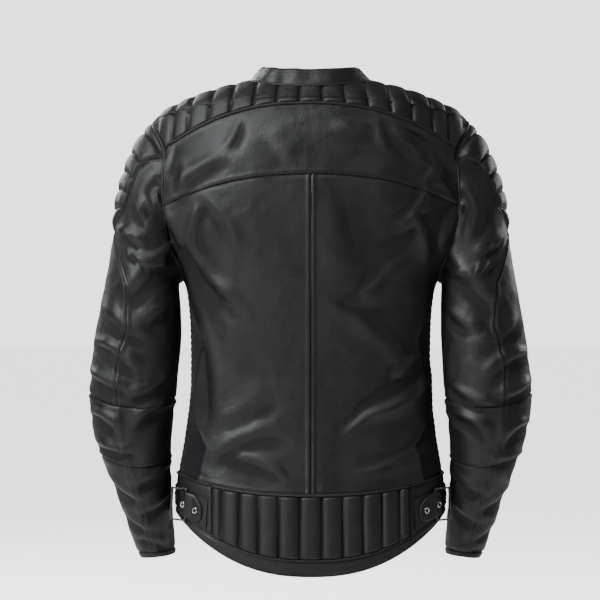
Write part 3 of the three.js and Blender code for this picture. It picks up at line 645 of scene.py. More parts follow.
class Finish:
    """A node material whose colour and relief come from procedural textures in the jacket's own frame."""

    def __init__(self, name, **values):
        self.material = bpy.data.materials.new(name)
        self.material.use_nodes = True
        self.tree = self.material.node_tree
        self.shader = self.tree.nodes["Principled BSDF"]
        self.place = self.tree.nodes.new("ShaderNodeTexCoord").outputs["Object"]
        self.bumped = None
        for key, value in values.items():
            self.shader.inputs[key.replace("_", " ")].default_value = value

    def node(self, kind, links=(), **settings):
        made = self.tree.nodes.new(kind)
        for key, value in settings.items():
            setattr(made, key, value)
        for key, source in dict(links).items():
            if isinstance(source, bpy.types.NodeSocket):
                self.tree.links.new(source, made.inputs[key])
            else:
                made.inputs[key].default_value = source
        return made

    def scaled(self, x, y, z):
        return self.node("ShaderNodeMapping", {"Vector": self.place, "Scale": (x, y, z)}).outputs[0]

    def noise(self, scale, detail=3.0, roughness=0.55, place=None):
        links = {"Vector": place or self.place, "Scale": scale, "Detail": detail, "Roughness": roughness}
        return self.node("ShaderNodeTexNoise", links).outputs["Fac"]

    def cells(self, scale):
        return self.node("ShaderNodeTexVoronoi", {"Vector": self.place, "Scale": scale}).outputs["Distance"]

    def bands(self, scale, axis, distortion):
        links = {"Vector": self.place, "Scale": scale, "Distortion": distortion}
        return self.node("ShaderNodeTexWave", links, bands_direction=axis).outputs["Fac"]

    def ramp(self, value, low, high, out_low=0.0, out_high=1.0):
        links = {"Value": value, "From Min": low, "From Max": high, "To Min": out_low, "To Max": out_high}
        return self.node("ShaderNodeMapRange", links).outputs["Result"]

    def math(self, operation, first, second):
        return self.node("ShaderNodeMath", {0: first, 1: second}, operation=operation).outputs[0]

    def mix(self, factor, first, second):
        return self.node("ShaderNodeMix", {0: factor, 6: first, 7: second}, data_type="RGBA").outputs[2]

    def bump(self, height, distance, strength=1.0):
        links = {"Height": height, "Distance": distance, "Strength": strength}
        if self.bumped:
            links["Normal"] = self.bumped
        self.bumped = self.node("ShaderNodeBump", links).outputs["Normal"]

    def done(self, colour=None, roughness=None):
        for socket, source in (("Base Color", colour), ("Roughness", roughness), ("Normal", self.bumped)):
            if source:
                self.tree.links.new(source, self.shader.inputs[socket])
        return self.material


def grey(value, tint=(1.0, 1.0, 1.0)):
    return tuple(value * t for t in tint) + (1.0,)


def leather_finish(name, dark, light, smoothest=0.42, roughest=0.60):
    """Black full-grain leather: pebbled grain, fine creases, and paler where it stands proud, partly as
    rubbed wear and partly as painted sheen.
    """
    finish = Finish(name, Specular_IOR_Level=0.42)
    tone = finish.ramp(finish.noise(14, 4), 0.35, 0.68)
    grain_shade = finish.ramp(finish.cells(560), 0.0, 0.7)
    base = finish.mix(finish.math("MULTIPLY", tone, grain_shade), grey(dark), grey(light))
    raised = finish.node("ShaderNodeAttribute", attribute_name="raised").outputs["Fac"]
    wear_and_sheen_patches = finish.ramp(finish.noise(45, 5), 0.42, 0.75)
    # Paler colour on raised folds and quilt crowns: partly rubbed wear, partly a painted sheen where light
    # would catch them.
    worn = finish.math("MULTIPLY", finish.ramp(raised, 2.5, 7.0), wear_and_sheen_patches)
    colour = finish.mix(finish.math("MULTIPLY", worn, 0.25), base, grey(light * 1.6, (1.0, 0.99, 0.97)))
    shine = finish.math("ADD", finish.noise(26, 4), finish.math("MULTIPLY", finish.noise(320, 2), 0.25))
    finish.bump(finish.noise(70, 5, 0.6), 0.0011, 0.5)
    finish.bump(finish.noise(190, 4, 0.65, finish.scaled(1, 1, 1.7)), 0.0005, 0.6)
    finish.bump(finish.cells(620), 0.00022, 0.6)
    rough = finish.math("MAXIMUM", finish.ramp(shine, 0.4, 0.9, smoothest, roughest),
                        finish.ramp(raised, -1.2, 0.6, 0.9, smoothest))
    return finish.done(colour, rough)


def knit_finish():
    """Ribbed stretch knit, near black with a faint violet cast."""
    finish = Finish("stretch_knit", Sheen_Weight=0.06, Roughness=0.95, Specular_IOR_Level=0.15)
    ribs = finish.bands(190, "Z", 0.4)
    loops = finish.bands(420, "Y", 0.8)
    weave = finish.math("MULTIPLY", ribs, finish.ramp(loops, 0, 1, 0.55, 1))
    colour = finish.mix(weave, grey(0.0035, (1.0, 0.92, 1.25)), grey(0.013, (1.0, 0.93, 1.22)))
    finish.bump(weave, 0.0006, 0.8)
    finish.bump(finish.noise(900, 2), 0.00015, 0.6)
    return finish.done(colour)


def cloth_finish(name, dark, light, scale, roughness):
    """A plain woven cloth."""
    finish = Finish(name, Roughness=roughness, Sheen_Weight=0.12)
    warp = finish.bands(scale, "X", 0.2)
    weft = finish.bands(scale, "Z", 0.2)
    weave = finish.math("MAXIMUM", warp, weft)
    patchy = finish.math("MULTIPLY", weave, finish.ramp(finish.noise(60, 4), 0.3, 0.7, 0.6, 1))
    finish.bump(weave, 0.0002, 0.7)
    return finish.done(finish.mix(patchy, grey(dark), grey(light)))


def metal_finish(name, dark, light, smoothest, roughest):
    """Dark nickel, rubbed brighter in places."""
    finish = Finish(name, Metallic=1.0)
    rubbed = finish.ramp(finish.noise(240, 5), 0.35, 0.7)
    colour = finish.mix(rubbed, grey(dark), grey(light, (1.0, 0.99, 0.97)))
    scratches = finish.noise(900, 3, 0.6, finish.scaled(1, 1, 0.12))
    finish.bump(scratches, 0.00004, 0.5)
    return finish.done(colour, finish.ramp(finish.noise(300, 3), 0.3, 0.7, smoothest, roughest))


def foam_finish():
    finish = Finish("armour_foam", Roughness=0.9)
    pores = finish.cells(500)
    finish.bump(pores, 0.0006, 0.8)
    return finish.done(finish.mix(finish.ramp(pores, 0, 0.6), grey(0.012), grey(0.04, (0.95, 1.0, 1.15))))


def thread_finish():
    finish = Finish("black_thread", Roughness=0.75, Sheen_Weight=0.05)
    twist = finish.bands(1400, "DIAGONAL", 0.3)
    finish.bump(twist, 0.0001, 0.7)
    return finish.done(finish.mix(twist, grey(0.003), grey(0.011)))


LEATHER_SKIN = leather_finish("black_leather", 0.006, 0.013)
PADDED_SKIN = leather_finish("black_leather_padded", 0.006, 0.012, 0.46, 0.60)
STRAP_SKIN = leather_finish("black_leather_strap", 0.005, 0.011, 0.38, 0.52)
KNIT = knit_finish()
LINING = cloth_finish("lining_cloth", 0.006, 0.016, 700, 0.6)
TAPE = cloth_finish("zip_tape_cloth", 0.004, 0.013, 900, 0.85)
FRAME_METAL = metal_finish("dark_nickel", 0.16, 0.36, 0.24, 0.42)
EYELET_METAL = metal_finish("bright_nickel", 0.42, 0.62, 0.2, 0.36)
TOOTH_METAL = metal_finish("zip_teeth_metal", 0.09, 0.2, 0.3, 0.46)
FOAM = foam_finish()
THREAD = thread_finish()


# ------------------------------------------------------------------ panels

stitch_lines = {}       # region to its list of stitch lines


def sew(region, line):
    stitch_lines.setdefault(region, []).append(line)


def level(grid, outer, field, value, upward=False):
    """Points and normals where a field that grows along each row, or up each column, passes a value."""
    facing = grid.normals
    if upward:
        field, outer, facing = field.T, outer.transpose(1, 0, 2), facing.transpose(1, 0, 2)
    points, directions = [], []
    for values, place, face in zip(field, outer, facing):
        if values[0] < value < values[-1]:
            points.append([np.interp(value, values, place[:, k]) for k in range(3)])
            directions.append([np.interp(value, values, face[:, k]) for k in range(3)])
    return np.array(points), unit(np.array(directions).reshape(-1, 3))


QUILT_POWERS = (2.6, 0.8)   # how full the channels are
QUILT_SEAM = {"depth": 1.6, "half": 1.6}


def quilting(field, lines, crown, millimetres):
    """Rounded channels between sewn lines, and pleats where the stitches pull."""
    k = np.clip(np.searchsorted(lines, field), 1, len(lines) - 1)
    low, high = np.take(lines, k - 1), np.take(lines, k)
    s = np.clip((field - low) / (high - low), 0, 1)
    distance = np.minimum(s, 1 - s) * (high - low) * millimetres
    rounded = (1 - np.abs(2 * s - 1) ** QUILT_POWERS[0]) ** QUILT_POWERS[1]
    return crown * rounded - QUILT_SEAM["depth"] * np.exp(-((distance / QUILT_SEAM["half"]) ** 2))


def panel(node, grid, styles, material=LEATHER_SKIN, region="body", extra=0.0, folds=1.0, sewn=EDGES,
          closed=False):
    """One leather panel. styles names the seam at each edge."""
    worn = leather_lift(grid.points, grid.normals) * folds
    lift = worn + extra
    for edge, style in zip(EDGES, styles):
        lift = lift + PROFILES[style](grid.edge[edge])
    lift = np.maximum(lift, LOWEST)
    if closed:
        lift[:, -1] = lift[:, 0]
    inner = np.maximum(np.minimum(worn, lift + 0.6) - LEATHER, DEEPEST_INNER)
    made, outer = shell(f"{node}_skin", grid, lift, inner, material, "leather", closed=closed,
                        replaces=[node])
    for edge, style in zip(EDGES, styles):
        if style in ("felled", "rolled") and edge in sewn:
            sew(region, grid.line(outer, edge, STITCH_INSET))
    return made, outer


def edge_gap(grid):
    return np.minimum(grid.edge["bottom"], grid.edge["top"])


YOKE_LINES = [-216, -193, -170, -141, -112, -80, -48, -16, 16, 48, 80, 112, 141, 170, 193, 216]
YOKE_LEAN = 0.07        # how far the channels draw in towards the neck
KIDNEY_LINES = [-KIDNEY_HALF, -122, -98, -72, -44, -15, 15, 44, 72, 98, 122, KIDNEY_HALF]
CAP_LINES = [-0.35, 0.67, 1.5, 2.2, 2.9, 3.5, 4.4]
CAP_TILT = 0.4
QUILT_GRID = 1.7
GAP_V = 0.006           # half a seam gap, in rings
CROWN = {"yoke": 2.7, "kidney": 4.0, "cap": 5.0}


def yoke_field(grid):
    t = np.clip((grid.v - V["yoke"]) / (V["neck"] - V["yoke"]), 0, 1)
    return grid.points[..., 0] * (1 + YOKE_LEAN * t)


def quilted(node, grid, field, lines, crown, millimetres, styles, region, upward=False, fade=4):
    """A padded panel with channels between lines of a field, which measures in so many millimetres."""
    height = quilting(field, np.array(lines, float), crown, millimetres)
    sides = np.minimum(grid.edge["left"], grid.edge["right"])
    height = height * smooth(edge_gap(grid), -1, fade) * smooth(sides, 0, 8)
    puckers = 0.12 * noise(grid.points + 70, 10) + 0.3 * noise(grid.points, 26)
    height = height + puckers * np.clip(height / crown, 0, 1)
    made, outer = panel(node, grid, styles, PADDED_SKIN, region, extra=height, folds=0.22)
    for value in lines[1:-1]:
        crossing = level(grid, outer, field, value, upward)
        if len(crossing[0]) > 4:
            sew(region, crossing)


def symmetric(limit):
    return lambda v: (-limit(v), limit(v))


# Yoke and front shoulders.
YOKE_ROWS = (V["yoke"] + GAP_V, V["neck"] - 0.01)
yoke_grid = Grid(body, *YOKE_ROWS,
                 symmetric(lambda v: np.minimum(back_limit(v), SIDE - 0.002)), QUILT_GRID, finer=2.5)
quilted("yoke_quilted", yoke_grid, yoke_field(yoke_grid), YOKE_LINES, CROWN["yoke"], 1.0,
        ("felled", "felled", "groove", "groove"), "body")

for side, hand in HANDS:
    grid = Grid(body, *YOKE_ROWS,
                lambda v: (np.maximum(front_limit(v), SIDE + 0.002), front_edge(body)(v)), QUILT_GRID, side,
                finer=1.6)
    lines = [-x for x in reversed([3, *YOKE_LINES[8:]])]
    quilted(f"shoulder_front_quilted_{hand}", grid, -np.abs(yoke_field(grid)), lines, CROWN["yoke"],
            1.0, ("groove", "rolled", "felled", "groove"), "front")

# Back.
back_upper = Grid(body, V["back_seam"] + GAP_V, V["yoke"] - GAP_V, symmetric(back_limit), FINE)
panel("back_upper_panel", back_upper, ("felled", "felled", "felled", "felled"))
for side, hand in HANDS:
    grid = Grid(body, V["waist"] + GAP_V, V["back_seam"] - GAP_V,
                lambda v: (SEAM_GAP / reach_per_radian(body, 0, v), back_limit(v)), FINE, side)
    panel(f"back_lower_panel_{hand}", grid, ("felled", "felled", "felled", "groove"))
    grid = Grid(body, V["waist"] + GAP_V, V["yoke"] - GAP_V,
                lambda v: (front_limit(v), front_edge(body)(v)), FINE, side)
    panel(f"front_panel_{hand}", grid, ("felled", "rolled", "felled", "felled"), region="front")
    grid = Grid(body, V["kidney"] + GAP_V, V["waist"] - GAP_V,
                lambda v: (kidney_limit(v, SEAM_GAP), front_edge(body)(v)), FINE, side)
    panel(f"waist_band_{hand}", grid, ("felled", "rolled", "felled", "groove"), folds=0.6)

kidney_grid = Grid(body, V["kidney"] + GAP_V, V["waist"] - GAP_V,
                   symmetric(lambda v: kidney_limit(v, -SEAM_GAP)), QUILT_GRID)
quilted("kidney_panel_quilted", kidney_grid, kidney_grid.points[..., 0], KIDNEY_LINES, CROWN["kidney"], 1.0,
        ("groove", "groove", "groove", "groove"), "body")

hem_grid = Grid(body, V["hem"], V["kidney"] - GAP_V, symmetric(front_edge(body)), FINE)
panel("hem_band", hem_grid, ("rolled", "rolled", "rolled", "felled"), folds=0.5)

# Stretch panels, drawn in a little between the leather edges.
STRETCH_TOP = V["underarm"] + 0.8
KNIT_THICKNESS = 1.7
RIB_PITCH, RIB_HEIGHT = 9, 0.35
for side, hand in HANDS:
    grid = Grid(body, V["waist"] + GAP_V, STRETCH_TOP, lambda v: (
        first_blocked(v, 0, SIDE, lambda p: past_stretch_back(p, -SEAM_GAP)),
        first_blocked(v, PI, SIDE, lambda p: past_stretch_front(p, -SEAM_GAP))), 2.6, side)
    nearest = np.minimum(grid.edge["left"], grid.edge["right"])
    sag = -0.4 - 1.2 * smooth(nearest, 0, 16)
    ribs = RIB_HEIGHT * np.sin(grid.points[..., 2] * 2 * PI / RIB_PITCH)
    worn = np.clip(leather_lift(grid.points, grid.normals) * 0.7, -1.2, 4)
    lift = worn + sag + ribs
    node = f"side_stretch_{hand}"
    shell(f"{node}_knit", grid, lift, lift - KNIT_THICKNESS, KNIT, "stretch", replaces=[node])

# Collar, crumpled at the back.
collar_grid = Grid(collar, 0.02, 1.0, symmetric(front_edge(collar)), 1.8)
spot = collar_grid.points
crumple = 2.0 * noise(spot * [1, 1, 0.7] + 40, 24) + 0.35 * noise(spot + 10, 9)
crumple = crumple * (0.35 + 0.9 * smooth(spot[..., 0], -20, 40)) * smooth(collar_grid.edge["bottom"], 0, 9)
_, collar_skin = panel("collar", collar_grid, ("rolled", "rolled", "rolled", "groove"), folds=0.0,
                       extra=1.0 + crumple, sewn=("left", "right"))
for inset in (3.2, 8.0):
    sew("body", collar_grid.line(collar_skin, "top", inset))

# ------------------------------------------------------------------ sleeves


def seam_distance(grid):
    """Distance to the back and front seams of a sleeve section, which goes on past the elbow."""
    back = sleeve_seam(grid.v)
    turned = np.arctan2(np.sin(grid.u), np.cos(grid.u))
    reach = reach_per_radian(sleeve, grid.u, grid.v)
    return np.minimum(np.abs(turned - back), np.abs(turned + back)) * reach


def sew_sleeve_seams(grid, outer, region):
    """Two rows of stitches along each seam of a lower sleeve panel."""
    for seam in (1, -1):
        for inset in (-STITCH_INSET, STITCH_INSET):
            target = seam * sleeve_seam(grid.rows) + inset / reach_per_radian(
                sleeve, seam * sleeve_seam(grid.rows), grid.rows)
            low, high = grid.u[:, 0], grid.u[:, -1]
            target = np.where(target < low, target + 2 * PI, target)
            target = np.where(target > high, target - 2 * PI, target)
            field = grid.u - target[:, None]
            sew(region, level(grid, outer, field, 0.0))


def cap_limits(v):
    seam = sleeve_seam(v)
    gap = SEAM_GAP / reach_per_radian(sleeve, seam, v)
    return -seam + gap, seam - gap


def under_limits(v):
    low, high = cap_limits(v)
    return high + 2 * (sleeve_seam(v) - high), 2 * PI + low - 2 * (low + sleeve_seam(v))


def forearm_limits(v):
    return CUFF_ZIP_ANGLE - 2 * PI + cuff_slit(v), CUFF_ZIP_ANGLE - cuff_slit(v)


def all_round(v):
    return np.full(v.shape, -PI / 2), np.full(v.shape, 3 * PI / 2)


for side, hand in HANDS:
    region = f"sleeve_{hand}"
    grid = Grid(sleeve, S["start"], S["cap_end"] - GAP_V, cap_limits, QUILT_GRID, side)
    field = grid.v + CAP_TILT * np.abs(grid.u) / (PI / 4)
    quilted(f"sleeve_cap_quilted_{hand}", grid, field, CAP_LINES, CROWN["cap"], 38,
            ("felled", "felled", "groove", "groove"), region, upward=True, fade=14)
    grid = Grid(sleeve, S["cap_end"] + GAP_V, S["elbow"] - GAP_V, cap_limits, FINE, side)
    panel(f"sleeve_outer_{hand}", grid, ("felled", "felled", "groove", "groove"), region=region)
    grid = Grid(sleeve, S["start"], S["elbow"] - GAP_V, under_limits, FINE, side)
    panel(f"sleeve_under_{hand}", grid, ("felled", "felled", "felled", "groove"), region=region)
    grid = Grid(sleeve, S["elbow"] + GAP_V, S["elbow_end"] - GAP_V, all_round, FINE, side)
    _, skin = panel(f"elbow_panel_{hand}", grid, ("plain", "plain", "felled", "felled"), region=region,
                    extra=felled(seam_distance(grid)), closed=True)
    sew_sleeve_seams(grid, skin, region)
    grid = Grid(sleeve, S["elbow_end"] + GAP_V, S["cuff_seam"] - GAP_V, forearm_limits, FINE, side)
    _, skin = panel(f"forearm_panel_{hand}", grid, ("rolled", "rolled", "groove", "groove"), region=region,
                    extra=felled(seam_distance(grid)))
    sew_sleeve_seams(grid, skin, region)
    grid = Grid(sleeve, S["cuff_seam"] + GAP_V, S["cuff"], forearm_limits, 2.0, side)
    panel(f"cuff_band_{hand}", grid, ("rolled", "rolled", "rolled", "groove"), region=region, folds=0.5,
          sewn=())


# ------------------------------------------------------------------ piping and welts

def along(surface, u, v, lift, side=1):
    """Points and normals on the worn leather over a line of a surface."""
    flip = np.array([side, 1, 1])
    points, facing = surface(u, v) * flip, normals(surface, u, v) * flip
    worn = leather_lift(points, facing)
    return points + facing * (worn + lift)[:, None], facing


def along_row(surface, v, low, high, lift, side=1, count=160):
    return along(surface, np.linspace(low, high, count), np.full(count, v), lift, side)


def along_kidney_side(lift, side):
    v = np.linspace(V["kidney"], V["waist"], 60)
    return along(body, kidney_limit(v, 0), v, lift, side)


def along_cap_seam(place, lift, side):
    v = np.linspace(S["start"], S["cap_end"], 90)
    return along(sleeve, place * sleeve_seam(v), v, lift, side)


collar_end = float(front_edge(collar)(np.array(0.0))) - 0.02
tube("collar_welt", *along_row(collar, 0.0, -collar_end, collar_end, 0.1), 2.4, PADDED_SKIN)
yoke_end = float(back_limit(V["yoke"])[0])
tube("yoke_piping", *along_row(body, V["yoke"], -yoke_end, yoke_end, 0.9), 2.0, PADDED_SKIN)
kidney_end = float(kidney_limit(V["waist"], 0)[0])
tube("waist_piping", *along_row(body, V["waist"], -kidney_end, kidney_end, 0.8), 2.1, PADDED_SKIN)
kidney_low = float(kidney_limit(V["kidney"], 0)[0])
tube("kidney_piping", *along_row(body, V["kidney"], -kidney_low, kidney_low, 0.7), 1.7, PADDED_SKIN)
front_end = float(front_edge(body)(np.array(float(V["waist"])))) - 0.01
for side, hand in HANDS:
    tube(f"waist_seam_{hand}", *along_row(body, V["waist"], kidney_end, front_end, 0.3, side), 1.5,
         LEATHER_SKIN)
    tube(f"hem_seam_{hand}", *along_row(body, V["kidney"], kidney_low - 0.03, front_end, -0.5, side), 1.5,
         LEATHER_SKIN)
    tube(f"kidney_side_seam_{hand}", *along_kidney_side(-1.0, side), 1.5, LEATHER_SKIN)
    tube(f"armhole_welt_{hand}", *along_row(sleeve, 0.02, 0, 2 * PI, -0.9, side, 240), 2.2,
         LEATHER_SKIN)
    for place, where in ((1, "back"), (-1, "front")):
        tube(f"cap_seam_{where}_{hand}", *along_cap_seam(place, -1.4, side), 1.5, LEATHER_SKIN)

# ------------------------------------------------------------------ lining

LINING_THICKNESS = 1.4


def body_lining_lift(v):
    return -5 - 8.5 * smooth((v - 1.5) / 2) * smooth((V["neck"] - 0.2 - v) / 2.5)


def sleeve_lining_lift(v):
    return -8.4 - 4.4 * smooth((12.5 - v) / 2.5)


def lining_edge(start):
    return lambda v: first_blocked(v, start, SIDE, lambda p: in_armhole(p, -8))


def lining_piece(name, surface, start, stop, limits, lift_at, side, replaces, closed=False):
    grid = Grid(surface, start, stop, limits, 7.0, side)
    lift = lift_at(grid.v) + np.clip(1.3 * noise(grid.points * [1, 1, 0.6] + 120, 55), -1.2, 1.2)
    shell(name, grid, lift, lift - LINING_THICKNESS, LINING, "lining", closed=closed, replaces=replaces)


LINING_ROWS = (V["kidney"] + 0.4, V["neck"] - 0.15)
LINING_INSET = 0.17     # radians short of the front edge
lining_piece("lining_back", body, *LINING_ROWS, symmetric(lining_edge(0)), body_lining_lift, 1,
             ["body_lining"])
for side, hand in HANDS:
    lining_piece(f"lining_front_{hand}", body, *LINING_ROWS,
                 lambda v: (lining_edge(PI)(v), front_edge(body)(v) - LINING_INSET), body_lining_lift,
                 side, [])
    lining_piece(f"lining_sleeve_{hand}", sleeve, 0.5, S["cuff"] - 0.3, all_round, sleeve_lining_lift, side,
                 [f"sleeve_lining_{hand}"], closed=True)

# ------------------------------------------------------------------ zips


def box_points(low, high, chamfer):
    """A block with its upright edges cut off, as points and faces. The chamfer is in x and y."""
    (x0, y0, z0), (x1, y1, z1) = low, high
    c = chamfer
    outline = [(x0 + c, y0), (x1 - c, y0), (x1, y0 + c), (x1, y1 - c),
               (x1 - c, y1), (x0 + c, y1), (x0, y1 - c), (x0, y0 + c)]
    count = len(outline)
    points = [(x, y, z) for z in (z0, z1) for x, y in outline]
    faces = [tuple(reversed(range(count))), tuple(range(count, 2 * count))]
    faces += [(k, (k + 1) % count, count + (k + 1) % count, count + k) for k in range(count)]
    return np.array(points, float), faces


def in_axes(local, axes, origin, side=1):
    """Local x, y, z points placed on three directions."""
    placed = origin + local @ np.array(axes)
    return placed * np.array([side, 1, 1])


def zip_axes(low, high, face):
    along = unit(high - low)
    back = unit(-face + along * (face @ along))
    return [unit(np.cross(back, along)), back, along]


class Blocks:
    """Blocks along a zip, collected into one mesh. A hand of -1 puts a block on the zip's other half."""

    def __init__(self, axes, origin, side):
        self.axes, self.origin, self.side = axes, origin, side
        self.points, self.faces, self.used = [], [], 0

    def add(self, low, high, chamfer, hand=1):
        local, faces = box_points(low, high, chamfer)
        self.points.append(in_axes(local * np.array([hand, 1, 1]), self.axes, self.origin, self.side))
        for face in faces if hand * self.side > 0 else [face[::-1] for face in faces]:
            self.faces.append(tuple(k + self.used for k in face))
        self.used += len(local)

    def finish(self, name, material, slot, **options):
        piece(name, np.concatenate(self.points), self.faces, material, slot, smooth_angle=30, **options)


TAPE_DEPTH = (0.05, 1.15)
TAPE_INNER = 0.4        # from the centre line to the edge of a single tape
CORD = ((1.9, -1.1), (3.0, 0.0))
TOOTH = {"pitch": 3.2, "thick": 1.9, "used": 0.72, "inner": -0.9, "reach": 3.0, "front": -2.5, "back": -0.3}


def zip_tape(name, low, high, face, half, node, side, hands):
    """One half of a zip, or both: woven tape with a cord and a row of teeth on each half."""
    axes = zip_axes(low, high, face)
    length = float(np.linalg.norm(high - low))
    tape, teeth = Blocks(axes, low, side), Blocks(axes, low, side)
    inner = -half if len(hands) == 2 else TAPE_INNER
    tape.add((inner, TAPE_DEPTH[0], 0), (half, TAPE_DEPTH[1], length), 0.3)
    for hand in hands:
        tape.add((*CORD[0], 0), (*CORD[1], length), 0.35, hand)
    tape.finish(name, TAPE, "zip_tape", replaces=[node])
    for k in range(int(length / TOOTH["pitch"])):
        for hand in hands:
            start = k * TOOTH["pitch"] + TAPE_INNER + (0 if hand * side > 0 else TOOTH["pitch"] / 2)
            if start + TOOTH["thick"] <= length:
                teeth.add((TOOTH["inner"], TOOTH["front"], start),
                          (TOOTH["reach"], TOOTH["back"], start + TOOTH["thick"] * TOOTH["used"]), 0.5, hand)
    teeth.finish(f"{name}_teeth", TOOTH_METAL, "metal")


def lifted(surface, u, v, lift):
    return surface(u, v) + normals(surface, u, v) * lift


FRONT_ZIP = {"top": -19, "bottom": -588, "sink": 4, "half": 14}
front_low, front_high = (np.array([0, -front_depth(z) + FRONT_ZIP["sink"], z])
                         for z in (FRONT_ZIP["bottom"], FRONT_ZIP["top"]))
POCKET = {"low": (math.radians(131), 2.75), "high": (math.radians(140), 5.35), "lift": 3, "half": 9}
CUFF_ZIP = {"top": 11.1, "bottom": 13.95, "sink": -5.4, "half": 7.6}
pocket_ends = [lifted(body, *POCKET[end], POCKET["lift"]) for end in ("low", "high")]
pocket_face = normals(body, *(np.array(POCKET["low"]) + np.array(POCKET["high"])) / 2)
cuff_ends = [lifted(sleeve, CUFF_ZIP_ANGLE, CUFF_ZIP[end], CUFF_ZIP["sink"]) for end in ("bottom", "top")]
cuff_face = normals(sleeve, CUFF_ZIP_ANGLE, (CUFF_ZIP["top"] + CUFF_ZIP["bottom"]) / 2)
for side, hand in HANDS:
    zip_tape(f"front_zip_{hand}", front_low, front_high, np.array([0, -1.0, 0]), FRONT_ZIP["half"],
             f"front_zip_tape_{hand}", side, (1,))
    zip_tape(f"pocket_zip_{hand}", *pocket_ends, pocket_face, POCKET["half"], f"pocket_zip_tape_{hand}", side,
             (1, -1))
    zip_tape(f"cuff_zip_{hand}", *cuff_ends, cuff_face, CUFF_ZIP["half"], f"cuff_zip_tape_{hand}", side,
             (1, -1))

# ------------------------------------------------------------------ waist straps

STRAP = {"low": 1.12, "high": 1.70, "thick": 2.0, "start": 62.6, "stop": 101}
STRAP_LIFT = ([62.6, 67.5, 70.3, 73.3, 77, 79, 101], [3.2, 3.4, 7, 7, 1.2, 0.6, 0.6])
STRAP_POINT = 5.0       # degrees over which the tip tapers
EYELETS = (66, 72, 84, 90.5)
strap_middle = (STRAP["low"] + STRAP["high"]) / 2


def strap_lift(u):
    return np.interp(np.degrees(u), *STRAP_LIFT)


class StrapGrid(Grid):
    """The strap's own grid, whose rows close in to a point at its free end."""

    def __init__(self, side):
        span = (math.radians(STRAP["start"]), math.radians(STRAP["stop"]))
        super().__init__(body, STRAP["low"], STRAP["high"],
                         lambda v: (np.full(v.shape, span[0]), np.full(v.shape, span[1])), 1.3, side)
        run = (np.degrees(self.u) - STRAP["start"]) / STRAP_POINT
        share = np.clip(0.22 + 0.78 * np.sqrt(np.clip(run, 0, 1)), 0, 1)
        self.v = strap_middle + (self.v - strap_middle) * share
        self.place(body)


def eyelet(name, centre, facing, upward, radius=4.6, hole=2.5):
    """A pressed metal ring with a dark bore."""
    profile = [(hole - 0.3, -1.6), (hole, 0.1), (hole + 0.5, 0.75), ((hole + radius) / 2, 0.95),
               (radius - 0.4, 0.6), (radius, 0.0), (radius - 0.3, -0.4), (hole + 0.7, -0.5),
               (hole + 0.3, -1.6)]
    sides = 32
    across = unit(np.cross(upward, facing))
    points, faces = [], []
    for k in range(sides):
        turn = 2 * PI * k / sides
        spoke = across * math.cos(turn) + upward * math.sin(turn)
        points += [centre + spoke * r + facing * h for r, h in profile]
    count = len(profile)
    for k in range(sides):
        a, b = k * count, ((k + 1) % sides) * count
        faces += [(a + i, a + (i + 1) % count, b + (i + 1) % count, b + i) for i in range(count)]
    piece(name, points, faces, EYELET_METAL, "metal")


for side, hand in HANDS:
    grid = StrapGrid(side)
    worn = np.clip(leather_lift(grid.points, grid.normals) * 0.25, -0.4, 1.0)
    base = strap_lift(grid.u) + worn
    lift = base + STRAP["thick"]
    for edge in EDGES:
        lift = lift + 0.55 * rolled(grid.edge[edge])
    _, skin = shell(f"strap_{hand}", grid, lift, base, STRAP_SKIN, "leather",
                    replaces=[f"adjuster_strap_{hand}"])
    for edge in ("bottom", "top"):
        sew(f"straps_{hand}", grid.line(skin, edge, 2.6))
    flip = np.array([side, 1, 1])
    for number, degrees in enumerate(EYELETS, 1):
        u = math.radians(degrees)
        facing = normals(body, u, strap_middle)
        upward = unit(body(u, strap_middle + 0.05) - body(u, strap_middle - 0.05))
        centre = body(u, strap_middle) + facing * (float(strap_lift(u)) + STRAP["thick"])
        eyelet(f"eyelet_{hand}_{number}", centre * flip, facing * flip, upward * flip)

# ------------------------------------------------------------------ thread and CAD pieces

for region, lines in stitch_lines.items():
    stitches(f"stitches_{region}", lines, THREAD)


def soften(node, material, width, segments=2):
    """A CAD piece keeps its shape and gets rounded edges and a finish."""
    thing = NODES[node]
    thing.data.materials.clear()
    thing.data.materials.append(material)
    bevel = thing.modifiers.new("rounded", "BEVEL")
    bevel.width = width * MM
    bevel.segments = segments
    bevel.limit_method = "ANGLE"
    bevel.angle_limit = math.radians(35)


METAL_NODES = {"adjuster_frame": 0.35, "pocket_zip_slider": 0.25, "pocket_zip_pull": 0.3,
               "cuff_zip_slider": 0.25, "cuff_zip_pull": 0.3}
for hand in ("left", "right"):
    for node, width in METAL_NODES.items():
        soften(f"{node}_{hand}", FRAME_METAL, width, 3)
    soften(f"adjuster_tab_{hand}", STRAP_SKIN, 0.5)
    soften(f"shoulder_protector_{hand}", FOAM, 1.2)
    soften(f"elbow_protector_{hand}", FOAM, 1.2)
soften("front_zip_slider", FRAME_METAL, 0.25, 3)
soften("front_zip_pull", FRAME_METAL, 0.3, 3)
soften("back_protector", FOAM, 1.2)
soften("hang_loop", STRAP_SKIN, 0.4)
soften("trouser_zip", TAPE, 0.3)

# ------------------------------------------------------------------ camera, light and floor

LOOK_AT = (0.015, 0.03, -0.297)
CAMERA_DISTANCE = 3.4
VIEW_WIDTH = 0.84       # what the view takes in at the jacket

camera_data = bpy.data.cameras.new("camera")
camera = bpy.data.objects.new("camera", camera_data)
bpy.context.scene.collection.objects.link(camera)
camera.location = (LOOK_AT[0], LOOK_AT[1] + CAMERA_DISTANCE, LOOK_AT[2])
camera.rotation_euler = (PI / 2, 0, PI)
camera_data.sensor_width = 36
camera_data.lens = camera_data.sensor_width * CAMERA_DISTANCE / VIEW_WIDTH
camera_data.clip_end = 60
bpy.context.scene.camera = camera

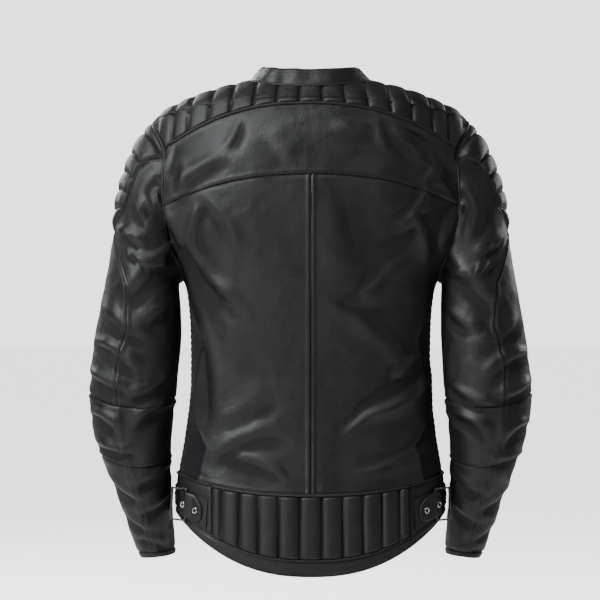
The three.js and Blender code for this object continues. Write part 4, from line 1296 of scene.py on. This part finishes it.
FLOOR_Z = -0.95
floor_mesh = bpy.data.meshes.new("floor")
floor_corners = [(x, y, FLOOR_Z) for x, y in ((-30, -30), (30, -30), (30, 30), (-30, 30))]
floor_mesh.from_pydata(floor_corners, [], [(0, 1, 2, 3)])
floor = bpy.data.objects.new("floor", floor_mesh)
bpy.context.scene.collection.objects.link(floor)
floor_material = bpy.data.materials.new("pale_floor")
floor_material.use_nodes = True
floor_shader = floor_material.node_tree.nodes["Principled BSDF"]
floor_shader.inputs["Base Color"].default_value = grey(0.86)
floor_shader.inputs["Roughness"].default_value = 0.9
floor_shader.inputs["Emission Color"].default_value = grey(0.95)
floor_mesh.materials.append(floor_material)


def seen_only(tree, socket, hidden, seen):
    """Sets a strength that differs between what the view shows and what lights the jacket."""
    ray = tree.nodes.new("ShaderNodeLightPath").outputs["Is Camera Ray"]
    strength = tree.nodes.new("ShaderNodeMapRange")
    strength.inputs["To Min"].default_value = hidden
    strength.inputs["To Max"].default_value = seen
    tree.links.new(ray, strength.inputs["Value"])
    tree.links.new(strength.outputs["Result"], socket)


AMBIENT, BACKDROP = 0.03, 2.6       # what the surroundings shed on the jacket, and how pale they look
FLOOR_GLOW = 2.3
seen_only(floor_material.node_tree, floor_shader.inputs["Emission Strength"], 0.0, FLOOR_GLOW)
world = bpy.data.worlds.new("studio")
world.use_nodes = True
sky = world.node_tree.nodes["Background"]
sky.inputs["Color"].default_value = grey(0.95)
seen_only(world.node_tree, sky.inputs["Strength"], AMBIENT, BACKDROP)
bpy.context.scene.world = world


LIGHT_COLOUR = (0.96, 0.98, 1.0)
LIGHTS = {               # place, size, power
    "key": ((2.0, 2.0, 1.2), (0.9, 1.4), 105),
    "fill": ((-2.6, 0.9, 0.7), (0.5, 1.2), 6),
    "top": ((0.8, 1.0, 2.0), (1.0, 0.8), 40),
    "front": ((1.6, -2.2, 1.0), (1.6, 1.6), 75),
    "front_fill": ((-2.0, -1.8, 0.6), (1.4, 1.6), 35),
}
for name, (place, size, power) in LIGHTS.items():
    data = bpy.data.lights.new(name, "AREA")
    data.shape = "RECTANGLE"
    data.size, data.size_y = size
    data.energy = power
    data.color = LIGHT_COLOUR
    light = bpy.data.objects.new(name, data)
    light.location = place
    light.rotation_euler = (Vector(LOOK_AT) - Vector(place)).to_track_quat("-Z", "Y").to_euler()
    bpy.context.scene.collection.objects.link(light)
